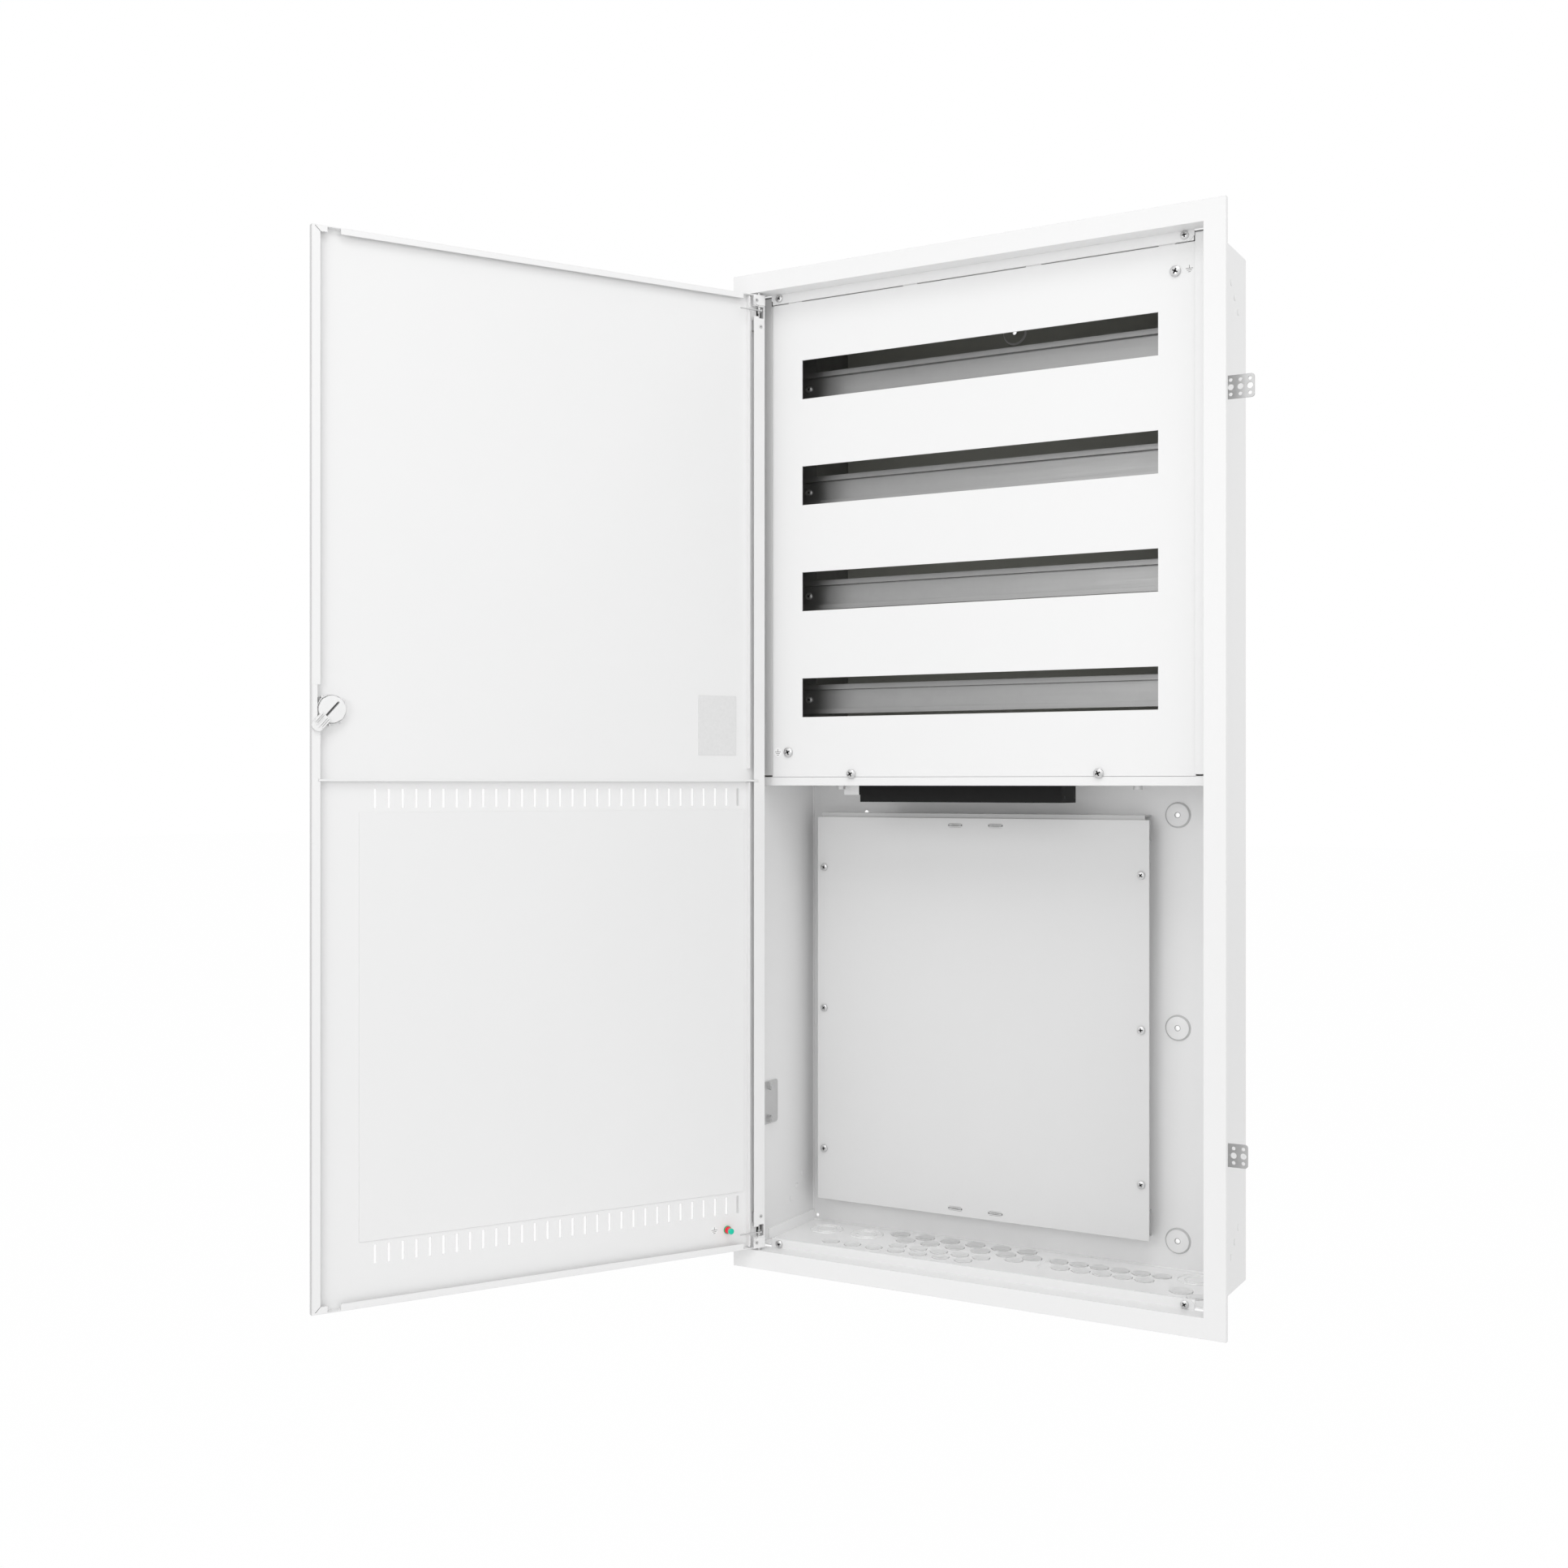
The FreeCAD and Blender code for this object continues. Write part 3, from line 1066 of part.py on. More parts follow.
def door_panel():
    """Door skin with folded edges, vents and the cut-outs for hinges and latch."""
    body = folded("DoorPanel")
    skin = (level(0), level(dim.door_sheet))
    flange = (level(dim.door_depth - dim.door_sheet), level(dim.door_depth))
    width = (along(0), along(door_width))
    up = (door_bottom, door_top)
    add(body, "xz", skin, rectangle(width, up))
    thin = dim.door_sheet
    inside = rectangle((width[0] + thin, width[1] - thin), (door_bottom + thin, door_top - thin))
    add(body, "xz", (skin[0], flange[1]), rectangle(width, up), inside)
    mouth = rectangle((along(dim.hinge_lip), width[1] - dim.free_lip),
                      (door_bottom + dim.bottom_lip, door_top - dim.top_lip))
    add(body, "xz", flange, rectangle(width, up), mouth)
    lips = ((door_bottom + thin, door_bottom + dim.bottom_lip, 1),
            (door_top - thin, door_top - dim.top_lip, -1))
    notch_start = width[1] - dim.lip_notch_inset
    notch = (notch_start, notch_start + dim.lip_notch_width)
    cuts = []
    for near, far, way in lips:
        end = near - thin * way
        cuts.append(rectangle((along(dim.hinge_lip), along(dim.lip_start)), (near, far)))
        cuts.append(rectangle(notch, (near, far)))
        cuts.append(rectangle((along(dim.window_end), along(dim.hinge_lip)),
                              (near, end + dim.lip_cut * way)))
        cuts.append(rectangle((along(dim.window_start), along(dim.window_end)),
                              (end + dim.window_near * way, end + dim.window_far * way)))
        seat_screw = (along(dim.seat_screw_start), end + dim.seat_screw_end * way)
        cuts.append((seat_screw, dim.leaf_shank + dim.screw_clearance))
    cuts.append(rectangle((width[1] - dim.free_lip, width[1] - thin),
                          (latch_middle - dim.latch_notch_below, latch_middle + dim.latch_notch_above)))
    rib_half = dim.rib_sheet / 2 + dim.screw_clearance
    rib_reach = (along(dim.rib_start - dim.screw_clearance),
                 width[1] - dim.rib_end + dim.screw_clearance)
    cuts.append(rectangle((rib_reach[0], along(dim.hinge_lip)), around(rib_middle, rib_half)))
    cuts.append(rectangle((width[1] - dim.free_lip, rib_reach[1]), around(rib_middle, rib_half)))
    for loop in cuts:
        remove(body, "xz", flange, loop)
    corner = width[1] - dim.free_lip
    reach = dim.mitre_reach
    slit = dim.mitre_half
    for start, way in ((door_bottom + dim.bottom_lip, -1), (door_top - dim.top_lip, 1)):
        slanted = ((corner - slit, start), (corner, start - slit * way),
                   (corner + reach, start + (reach - slit) * way),
                   (corner + reach - slit, start + reach * way))
        remove(body, "xz", flange, slanted)
    pin_hole = ((size(0), size(0)), dim.pin_radius + dim.pin_clearance)
    remove(body, "xy", (door_top - thin, door_top), pin_hole)
    remove(body, "xy", (door_bottom, door_bottom + thin), pin_hole)
    barrel = ((along(latch_start), latch_middle), dim.barrel_radius + dim.latch_clearance)
    remove(body, "xz", skin, barrel)
    first = along(dim.vent_start)
    for low in (vent_low, upper_vent_low):
        slot = rectangle(around(first, dim.vent_width / 2), (low, low + dim.vent_height))
        repeat(body, remove(body, "xz", skin, slot), "H_Axis", vent_pitch, dim.vent_count)
    node("door_panel", on_door(body))


def door_stiffeners():
    """Channel beside the hinge lip, and the rib across the door."""
    body = folded("HingeStiffener")
    base = level(dim.door_sheet)
    leg_end = level(dim.door_depth)
    low = door_bottom + dim.leg_top_gap
    high = door_top - dim.leg_top_gap
    leg = (along(dim.leg_start), along(dim.leg_start + dim.leg_sheet))
    foot = (along(dim.hinge_lip + dim.leg_sheet), leg[1])
    add(body, "xz", (base, base + dim.leg_sheet), rectangle(foot, (low, high)))
    add(body, "xz", (base, leg_end), rectangle(leg, (low, high)))
    gap_low = rib_middle - dim.leg_sheet
    remove(body, "xz", (base, leg_end), rectangle(foot, (gap_low, gap_low + dim.leg_break)))
    node("door_hinge_stiffener", on_door(body))
    rib = block((along(dim.rib_start), along(door_width - dim.rib_end)),
                (base, base + dim.rib_height), around(rib_middle, dim.rib_sheet / 2))
    node("door_cross_rib", on_door(group(rib)))


def door_panels():
    """Inner panel between the vents, and the blank label plate."""
    base = level(dim.door_sheet)
    across = (along(dim.panel_start), along(door_width - dim.panel_end))
    up = (vent_low + dim.vent_height + dim.panel_gap, upper_vent_low - dim.panel_gap)
    node("door_inner_panel", on_door(group(block(across, (base, base + dim.panel_sheet), up))))
    across = (along(dim.label_start), along(dim.label_start + dim.label_width))
    low = rib_middle + dim.label_rise
    label = block(across, (base, base + dim.label_sheet), (low, low + dim.label_height))
    node("door_label_plate", on_door(group(label)))


def hinge_end(word, end, way):
    """Leaf, pin guide, spring seat, pin and spring at one end of the hinge.

    Distances run from the door's end towards its middle: way is 1 upwards, -1 downwards."""
    def at(distance):
        return end + size(distance) * way

    base = level(dim.door_sheet)
    under_flange = level(dim.door_depth - dim.door_sheet)
    top = level(dim.door_depth)
    leaf_top = top + dim.leaf_sheet
    thin = dim.door_sheet
    sides = (along(thin), along(dim.hinge_lip))
    leaf_edge = along(dim.leaf_width)
    outline = ((along(0), at(0)), (leaf_edge, at(0)), (leaf_edge, at(dim.leaf_height - dim.leaf_corner)),
               (leaf_edge - dim.leaf_corner, at(dim.leaf_height)), (along(0), at(dim.leaf_height)))
    plate = prism("xz", outline, (top, leaf_top))
    guide = block(sides, (base, under_flange), (at(thin), at(dim.guide_far)))
    neck = block((along(dim.window_end), sides[1]), (under_flange, top), (at(thin), at(dim.leaf_height)))
    bore = rod("z", (size(0), size(0)), dim.pin_radius + dim.pin_clearance, (at(0), at(dim.guide_far)))
    screw_centre = (along(dim.leaf_screw_start), at(dim.leaf_screw_end))
    seat_centre = (along(dim.seat_screw_start), at(dim.seat_screw_end))
    screw_tip = base + dim.leaf_screw_rest
    hole = dim.leaf_shank + dim.screw_clearance
    leaf_hole = rod("y", screw_centre, hole, (screw_tip, leaf_top))
    node("hinge_leaf_" + word, on_door(cut(fuse(plate, guide, neck), bore, leaf_hole)))
    seat = block(sides, (base, under_flange), (at(dim.seat_near), at(dim.seat_far)))
    tail_hole = rod("z", (size(0), size(0)), dim.pin_tail_radius + dim.pin_clearance,
                    (at(dim.seat_near), at(dim.seat_near + dim.seat_bore)))
    seat_hole = rod("y", seat_centre, hole, (screw_tip, under_flange))
    node("spring_seat_" + word, on_door(cut(seat, tail_hole, seat_hole)))
    screws = (screw("y", screw_centre, dim.leaf_head, dim.leaf_shank, leaf_top + dim.leaf_head_height,
                    leaf_top, screw_tip),
              screw("y", seat_centre, dim.leaf_head, dim.leaf_shank, top + dim.leaf_head_height,
                    top, screw_tip))
    node("hinge_screws_" + word, on_door(group(*screws)))

    shank = rod("z", (size(0), size(0)), dim.pin_radius, (at(-dim.pin_tip), at(dim.pin_shoulder)))
    tail = rod("z", (size(0), size(0)), dim.pin_tail_radius,
               (at(dim.pin_shoulder), at(dim.pin_tail_end)))
    handle = at(dim.pin_handle)
    handle_level = level(dim.door_depth + dim.pin_handle_rise)
    boss = dim.pin_boss_radius
    arm = rod("y", (size(0), handle), boss, (size(0), handle_level + boss))
    grip = rod("x", (handle_level, handle), dim.pin_tail_radius,
               (size(0), along(dim.pin_handle_end)))
    node("hinge_pin_" + word, on_door(fuse(shank, tail, arm, grip)))

    coil = doc.addObject("Part::Helix", "Coil")
    length = dim.seat_near - dim.pin_shoulder - dim.spring_wire * 2
    coil.setExpression("Height", length.text)
    coil.setExpression("Pitch", (length / dim.spring_turns).text)
    coil.setExpression("Radius", dim.spring_radius.text)
    low = ordered((at(dim.seat_near), at(dim.pin_shoulder)))[0] + dim.spring_wire
    coil.setExpression("Placement.Base.z", low.text)
    wire = doc.addObject("Part::Circle", "Wire")
    wire.Placement = Placement(Vector(), Rotation(Vector(1, 0, 0), 90))
    wire.setExpression("Radius", dim.spring_wire.text)
    wire.setExpression("Placement.Base.x", dim.spring_radius.text)
    wire.setExpression("Placement.Base.z", low.text)
    spring = doc.addObject("Part::Sweep", "Spring")
    spring.Sections = [wire]
    spring.Spine = (coil, ["Edge1"])
    spring.Solid = True
    spring.Frenet = True
    node("hinge_spring_" + word, on_door(group(spring)))


def turned(*pieces):
    """Latch pieces drawn with the tongue level, turned to its resting angle."""
    solid = group(*pieces)
    solid.Placement = Placement(Vector(), Rotation(Vector(0, 1, 0), 1))
    solid.setExpression("Placement.Base.x", along(latch_start).text)
    solid.setExpression("Placement.Base.z", latch_middle.text)
    solid.setExpression("Placement.Rotation.Angle", dim.tongue_angle.text)
    return solid


def latch():
    """Quarter-turn latch: housing in the door, spindle with knob, disc with tongue."""
    centre = (along(latch_start), latch_middle)
    zero = (size(0), size(0))
    gap = dim.latch_clearance
    disc_high = level(dim.door_depth + dim.latch_disc_rise)
    disc_low = disc_high - dim.latch_disc_height
    bezel_front = level(-dim.bezel_height)
    knob_back = level(-dim.door_sheet - gap)
    flange = rod("y", centre, dim.bezel_radius, (bezel_front, level(0)))
    barrel = rod("y", centre, dim.barrel_radius, (level(0), disc_low - gap))
    recess = rod("y", centre, dim.knob_radius + gap, (bezel_front, level(-dim.door_sheet)))
    bore = rod("y", centre, dim.spindle_radius + gap, (level(-dim.door_sheet), disc_low - gap))
    node("latch_housing", on_door(cut(fuse(flange, barrel), recess, bore)))

    dial = rod("y", zero, dim.knob_radius, (bezel_front, knob_back))
    spindle = rod("y", zero, dim.spindle_radius, (knob_back, disc_low))
    grip = block(both(dim.knob_radius - dim.knob_grip_width / 2),
                 (bezel_front - dim.knob_grip_height, bezel_front), both(dim.knob_grip_width / 2))
    node("latch_knob", on_door(group(turned(fuse(dial, spindle, grip)))))

    disc = rod("y", zero, dim.latch_disc_radius, (disc_low, disc_high))
    half = dim.tongue_half
    nose = dim.tongue_reach
    corner = dim.tongue_corner
    outline = ((size(0), -half), (nose - corner, -half), (nose, -half + corner),
               (nose, half - corner), (nose - corner, half), (size(0), half))
    bar = prism("xz", outline, (level(tongue_low), level(tongue_high)))
    clear = rod("y", zero, dim.latch_disc_radius - corner, (disc_high, level(tongue_high)))
    groove = block(both(dim.groove_length / 2), (disc_high - dim.groove_depth, disc_high),
                   both(dim.groove_width / 2))
    node("latch_cam", on_door(group(turned(cut(fuse(disc, bar), clear, groove)))))


def earth_point():
    """Earth stud with ring, washer and cap on the door, and its mark."""
    centre = (along(dim.stud_start), door_bottom + dim.stud_rise)
    base = level(dim.door_sheet)
    ring_top = base + dim.earth_layer
    washer_top = ring_top + dim.earth_layer
    cap_top = washer_top + dim.earth_cap_height
    stud_top = base + dim.stud_height
    thread_start = stud_top - dim.stud_thread
    stud = fuse(rod("y", centre, dim.stud_neck, (base, thread_start)),
                rod("y", centre, dim.stud_radius, (thread_start, stud_top)))
    node("door_earth_stud", on_door(group(stud)))
    hole = dim.stud_radius + dim.screw_clearance
    layers = (("earth_ring", dim.ring_radius, base, ring_top),
              ("earth_washer", dim.washer_radius, ring_top, washer_top),
              ("earth_cap", dim.cap_radius, washer_top, cap_top))
    for label, radius, low, high in layers:
        node(label, on_door(cut(rod("y", centre, radius, (low, high)),
                                rod("y", centre, hole, (low, high)))))
    centre = (along(dim.mark_start), door_bottom + dim.mark_rise)
    mark = rod("y", centre, dim.mark_radius, (base, base + dim.mark_sheet))
    node("door_earth_mark", on_door(group(mark)))


back_shell()
end_plate("top_end_plate", ceiling, box_top, rail_edge)
end_plate("bottom_end_plate", floor_top, box_bottom, opening_bottom + dim.rail_face)
front_frame()
frame_screws()
side_strip("side_strip_left", -1)
side_strip("side_strip_right", 1)
module_cover()
cover_screws()
captive_screws()
partition_shelf()
shelf_bolts()
cable_entry()
for row_index in range(len(row_levels)):
    din_rail(row_index)
rail_upright("rail_upright_left", -1)
rail_upright("rail_upright_right", 1)
rail_screws()
mounting_plate()
plate_carriers()
plate_screws()
for number, (side, height) in enumerate(
        [(side, height) for side in (-1, 1) for height in anchor_levels], 1):
    reach = dim.lower_anchor_reach if height.value < 0 else dim.upper_anchor_reach
    wall_anchor("wall_anchor_%d" % number, side, height, reach)
anchor_clamps()
door_panel()
door_stiffeners()
door_panels()
hinge_end("top", door_top, -1)
hinge_end("bottom", door_bottom, 1)
latch()
earth_point()
doc.recompute()

faults = [item.Label for item in doc.Objects if "Invalid" in item.State or "Error" in item.State]
for part in nodes:
    if part.Shape.isNull() or not part.Shape.isValid() or not part.Shape.Solids:
        faults.append(part.Label)
if faults:
    raise RuntimeError("not built: " + ", ".join(sorted(set(faults))))

os.makedirs("parts", exist_ok=True)
for part in nodes:
    part.Shape.exportStep("parts/%s.step" % part.Label)
print(len(nodes), "sub-parts")
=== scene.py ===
import json
import math

import bmesh
import bpy
import numpy as np
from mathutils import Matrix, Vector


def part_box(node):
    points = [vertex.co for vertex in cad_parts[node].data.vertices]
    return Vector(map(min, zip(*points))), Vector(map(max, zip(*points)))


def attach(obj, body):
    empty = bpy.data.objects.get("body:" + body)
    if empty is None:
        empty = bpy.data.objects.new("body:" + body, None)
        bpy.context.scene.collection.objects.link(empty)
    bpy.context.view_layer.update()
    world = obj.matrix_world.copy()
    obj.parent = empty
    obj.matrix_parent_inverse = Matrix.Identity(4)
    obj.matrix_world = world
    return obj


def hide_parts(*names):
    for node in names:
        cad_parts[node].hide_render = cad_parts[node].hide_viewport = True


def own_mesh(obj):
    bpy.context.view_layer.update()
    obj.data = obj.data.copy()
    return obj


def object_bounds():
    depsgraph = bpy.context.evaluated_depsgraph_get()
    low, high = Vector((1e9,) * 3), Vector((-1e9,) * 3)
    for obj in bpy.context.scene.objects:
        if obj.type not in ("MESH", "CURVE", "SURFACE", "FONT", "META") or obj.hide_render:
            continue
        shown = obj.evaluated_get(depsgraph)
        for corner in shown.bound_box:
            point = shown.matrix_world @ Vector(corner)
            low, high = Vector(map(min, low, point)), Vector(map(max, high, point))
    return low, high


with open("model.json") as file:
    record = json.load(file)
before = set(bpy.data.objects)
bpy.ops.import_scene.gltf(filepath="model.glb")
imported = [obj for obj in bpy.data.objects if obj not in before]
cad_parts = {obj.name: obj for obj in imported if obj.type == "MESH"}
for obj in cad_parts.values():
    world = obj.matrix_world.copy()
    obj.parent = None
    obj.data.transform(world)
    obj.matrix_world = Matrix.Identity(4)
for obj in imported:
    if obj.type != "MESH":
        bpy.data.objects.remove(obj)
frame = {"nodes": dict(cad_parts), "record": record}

cadBox = [list(corner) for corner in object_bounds()]
nodes = frame["nodes"]
scene = bpy.context.scene
mm = 0.001
print("frame loaded:", len(nodes), "nodes")


cabinetFront = ((1, 0, 0), (0, 0, 1), (0, -1, 0))  # sideways, up, outwards of a piece that faces the room
cabinetFloor = ((1, 0, 0), (0, 1, 0), (0, 0, 1))
# degrees open, from the hinge line to the door's edge and to its outer face, and the door's width
door = {"turn": 120, "edge": 6.0, "skin": 4.2, "width": 536.8}
pivot = np.array(frame["record"]["behaviour"]["joints"][0]["pos_m"]) / mm
swing = math.radians(door["turn"])
doorAlong = np.array([math.cos(swing), -math.sin(swing), 0])
doorOut = np.array([math.sin(swing), math.cos(swing), 0])
doorInside = (-doorAlong, (0, 0, 1), doorOut)


def doorPoint(along, up, out):
    # a point of the open door: along it from the hinge edge, its height, and inwards from its outer face
    start = pivot * (1, 1, 0) + (along - door["edge"]) * doorAlong
    return start + (out - door["skin"]) * doorOut + (0, 0, up)


# shader maths: an expression on sockets adds its Math nodes
class Socket:
    def __init__(self, paint, socket):
        self.paint = paint
        self.socket = socket

    def maths(self, operation, *values):
        return self.paint.node("ShaderNodeMath", {"operation": operation}, self, *values)

    def __add__(self, other):
        return self.maths("ADD", other)

    def __sub__(self, other):
        return self.maths("SUBTRACT", other)

    def __rsub__(self, other):
        return self * -1.0 + other

    def __mul__(self, other):
        return self.maths("MULTIPLY", other)

    __radd__ = __add__
    __rmul__ = __mul__


class Paint:
    # one material: node() takes a type, its settings, then the values or links of its sockets
    def __init__(self, name):
        self.material = bpy.data.materials.new(name)
        self.material.use_nodes = True
        self.tree = self.material.node_tree
        self.shader = self.tree.nodes["Principled BSDF"]
        self.place = Socket(self, self.tree.nodes.new("ShaderNodeTexCoord").outputs["Object"])

    def put(self, socket, value):
        if isinstance(value, Socket):
            self.tree.links.new(value.socket, socket)
        else:
            socket.default_value = value

    def node(self, kind, settings, *values, output=0, **named):
        made = self.tree.nodes.new(kind)
        for key, value in settings.items():
            if key == "stops":
                for element, stop in zip(made.color_ramp.elements, value):
                    element.position = stop[0]
                    element.color = (stop[1], stop[1], stop[1], 1)
            else:
                setattr(made, key, value)
        for index, value in enumerate(values):
            self.put(made.inputs[index], value)
        for key, value in named.items():
            self.put(made.inputs[key.replace("_", " ")], value)
        return Socket(self, made.outputs[output])

    def noise(self, scale, detail=3.0, stretch=None):
        place = self.place
        if stretch:
            place = self.node("ShaderNodeMapping", {}, Vector=place, Scale=stretch)
        return self.node("ShaderNodeTexNoise", {}, Vector=place, Scale=scale, Detail=detail)

    def mixColour(self, factor, first, second):
        made = self.tree.nodes.new("ShaderNodeMix")
        made.data_type = "RGBA"
        self.put(made.inputs["Factor"], factor)
        self.put(made.inputs[6], first)
        self.put(made.inputs[7], second)
        return Socket(self, made.outputs[2])

    def set(self, **values):
        for key, value in values.items():
            self.put(self.shader.inputs[key.replace("_", " ")], value)

    def soften(self, height, distance, strength, radius=0.5 * mm):
        # bump on top of a small rounding of every edge
        edge = self.node("ShaderNodeBevel", {"samples": 4}, radius)
        return self.node("ShaderNodeBump", {}, Height=height, Distance=distance,
                         Strength=strength, Normal=edge)


def grey(value, tint=(1, 1, 1)):
    return (value * tint[0], value * tint[1], value * tint[2], 1)


powder = {"peelScale": 900, "peelDepth": 0.03 * mm, "clouds": 5, "step": 0.02}


def powderCoat(name, colour, roughness=0.4, coat=0.0):
    # satin powder coat: faint clouding of the white and a fine orange peel
    paint = Paint(name)
    cloud = paint.noise(powder["clouds"], 2)
    peel = paint.noise(powder["peelScale"], 2)
    paint.set(Base_Color=paint.mixColour(cloud, grey(colour - powder["step"]), grey(colour)),
              Roughness=cloud * 0.08 + (roughness - 0.04), Coat_Weight=coat,
              Normal=paint.soften(peel, powder["peelDepth"], 0.3))
    return paint.material


# the dark olive grey is painted shade on the box's inside above the shelf, standing in for the dim
# compartment behind the module cover
boxTones = {"outside": 0.83, "lower": 0.88, "upper": (0.33, 0.33, 0.30, 1), "shelf": -0.017, "skin": 0.4 * mm}


def boxCoatWithShade(name, roughness):
    # the box: its outer sides and back, its open lower half, and the half above the shelf behind the module
    # cover, painted dark grey as shade
    paint = Paint(name)
    cloud = paint.noise(powder["clouds"], 2)
    peel = paint.noise(powder["peelScale"], 2)
    x = paint.node("ShaderNodeSeparateXYZ", {}, paint.place)
    z = paint.node("ShaderNodeSeparateXYZ", {}, paint.place, output=2)
    y = paint.node("ShaderNodeSeparateXYZ", {}, paint.place, output=1)
    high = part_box("back_shell")[1]
    outer = x.maths("ABSOLUTE").maths("GREATER_THAN", high[0] - boxTones["skin"])
    outer = outer.maths("MAXIMUM", y.maths("GREATER_THAN", high[1] - boxTones["skin"]))
    # above the shelf the inside takes the dark grey of painted shade
    upper = z.maths("GREATER_THAN", boxTones["shelf"])
    inside = paint.mixColour(upper, grey(boxTones["lower"]), boxTones["upper"])
    paint.set(Base_Color=paint.mixColour(outer, inside, grey(boxTones["outside"])),
              Roughness=cloud * 0.08 + (roughness - 0.04),
              Normal=paint.soften(peel, powder["peelDepth"], 0.3))
    return paint.material


zinc = {"streaks": 260, "clouds": 40, "streakDepth": 0.02 * mm}


def zincPlate(name, colour, dark, roughness, stretch=(0.05, 1, 3)):
    # rolled and zinc plated steel: fine lengthwise streaks and cloudy patches
    paint = Paint(name)
    cloud = paint.noise(zinc["clouds"], 3)
    streak = paint.noise(zinc["streaks"], 2, stretch)
    paint.set(Base_Color=paint.mixColour(cloud, grey(dark), grey(colour)), Metallic=1.0,
              Roughness=cloud * 0.12 + streak * 0.10 + (roughness - 0.1),
              Normal=paint.soften(streak, zinc["streakDepth"], 0.3, 0.3 * mm))
    return paint.material


def moulded(name, colour, roughness, grain=1400, depth=0.03 * mm, radius=0.4 * mm, shine=0.5):
    # moulded plastic: even colour with a fine spark-eroded grain
    paint = Paint(name)
    speck = paint.noise(grain, 2)
    dull = tuple(channel * 0.9 for channel in colour)
    paint.set(Base_Color=paint.mixColour(speck, (*dull, 1), (*colour, 1)), Specular_IOR_Level=shine,
              Roughness=speck * 0.1 + (roughness - 0.05),
              Normal=paint.soften(speck, depth, 0.5, radius))
    return paint.material


finishes = {
    "white_powder_coat": powderCoat("whitePowderCoat", 0.86),
    "zinc_plated_steel": zincPlate("zincPlatedSteel", 0.72, 0.60, 0.36),
    "spring_steel": zincPlate("springSteel", 0.7, 0.6, 0.2),
    "black_plastic": moulded("blackPlastic", (0.008, 0.008, 0.008), 0.6, shine=0.2),
    "brush_fibre": moulded("brushFibre", (0.01, 0.01, 0.01), 0.8, shine=0.2),
    "white_plastic": moulded("whitePlastic", (0.88, 0.88, 0.88), 0.35),
    "green_plastic": moulded("greenPlastic", (0.06, 0.46, 0.22), 0.35),
    "red_plastic": moulded("redPlastic", (1.0, 0.02, 0.06), 0.35),
    "teal_plastic": moulded("tealPlastic", (0.0, 0.62, 0.42), 0.3),
    "label_film": moulded("labelFilm", (0.78, 0.78, 0.78), 0.5, 300, 0.01 * mm, 0.1 * mm),
}
# the grey on the face of the door's free edge is painted shade
shadedDoorEdge = {"tone": 0.62, "reach": 0.3}


def doorCoatShadedEdge(name, colour):
    # the door's white, painted grey as shade on the edge face of its free side
    paint = Paint(name)
    cloud = paint.noise(powder["clouds"], 2)
    peel = paint.noise(powder["peelScale"], 2)
    x = paint.node("ShaderNodeSeparateXYZ", {}, paint.place)
    y = paint.node("ShaderNodeSeparateXYZ", {}, paint.place, output=1)
    along = x * float(doorAlong[0]) + y * float(doorAlong[1])
    start = float(doorPoint(door["width"] - shadedDoorEdge["reach"], 0, 0) @ doorAlong) * mm
    # mask of the free edge face that is painted grey as shade
    free = along.maths("GREATER_THAN", start)
    white = paint.mixColour(cloud, grey(colour - powder["step"]), grey(colour))
    paint.set(Base_Color=paint.mixColour(free, white, grey(shadedDoorEdge["tone"])), Roughness=cloud * 0.08 + 0.36,
              Normal=paint.soften(peel, powder["peelDepth"], 0.3))
    return paint.material


special = {  # nodes whose finish differs from the rest of their slot
    "door_panel": doorCoatShadedEdge("doorCoatShadedEdge", 0.86),
    # the left side strip is painted darker grey as the shadow beside the door's hinge column
    "side_strip_left": powderCoat("shadedStrip", 0.6),
    "back_shell": boxCoatWithShade("boxCoatWithShade", 0.32),
    "mounting_plate": powderCoat("plateCoat", 0.76, 0.36),
    "top_end_plate": powderCoat("endPlateCoat", 0.97, 0.22, 0.4),
    "door_inner_panel": powderCoat("innerPanelCoat", 0.85, 0.5),
    "door_label_plate": moulded("labelPlate", (0.80, 0.80, 0.80), 0.5, 300, 0.01 * mm, 0.1 * mm),
    "plate_tie_top": powderCoat("tieCoat", 0.6, 0.4),
}
special["bottom_end_plate"] = special["top_end_plate"]
special["plate_tie_bottom"] = special["plate_tie_top"]
special["plate_carrier_left"] = special["plate_tie_top"]
special["plate_carrier_right"] = special["plate_tie_top"]
# a darker zinc painted as shade for the DIN rails and their uprights in the dim compartment behind the cover
zincPaintedShade = zincPlate("zincPaintedShade", 0.40, 0.32, 0.42)
anchorZinc = zincPlate("anchorZinc", 0.60, 0.5, 0.5)
for number in (1, 2, 3, 4):
    special["din_rail_%d" % number] = zincPaintedShade
    special["wall_anchor_%d" % number] = anchorZinc
special["rail_upright_left"] = zincPaintedShade
special["rail_upright_right"] = zincPaintedShade
slots = {part["node"]: part["material_slot"] for part in frame["record"]["subparts"]}
for name, piece in nodes.items():
    for holder in piece.material_slots:
        holder.material = special.get(name, finishes[slots[name]])
# near-black laid as painted shade in recesses, slits, gaps and windows
paintedShadeBlack = moulded("paintedShadeBlack", (0.02, 0.02, 0.02), 0.7)
printInk = moulded("printInk", (0.25, 0.24, 0.24), 0.6)
discFilm = moulded("discFilm", (0.97, 0.97, 0.97), 0.4, 300, 0.01 * mm, 0.1 * mm)
nodes["door_earth_mark"].material_slots[0].material = discFilm
print("finishes:", len(finishes) + len(special))


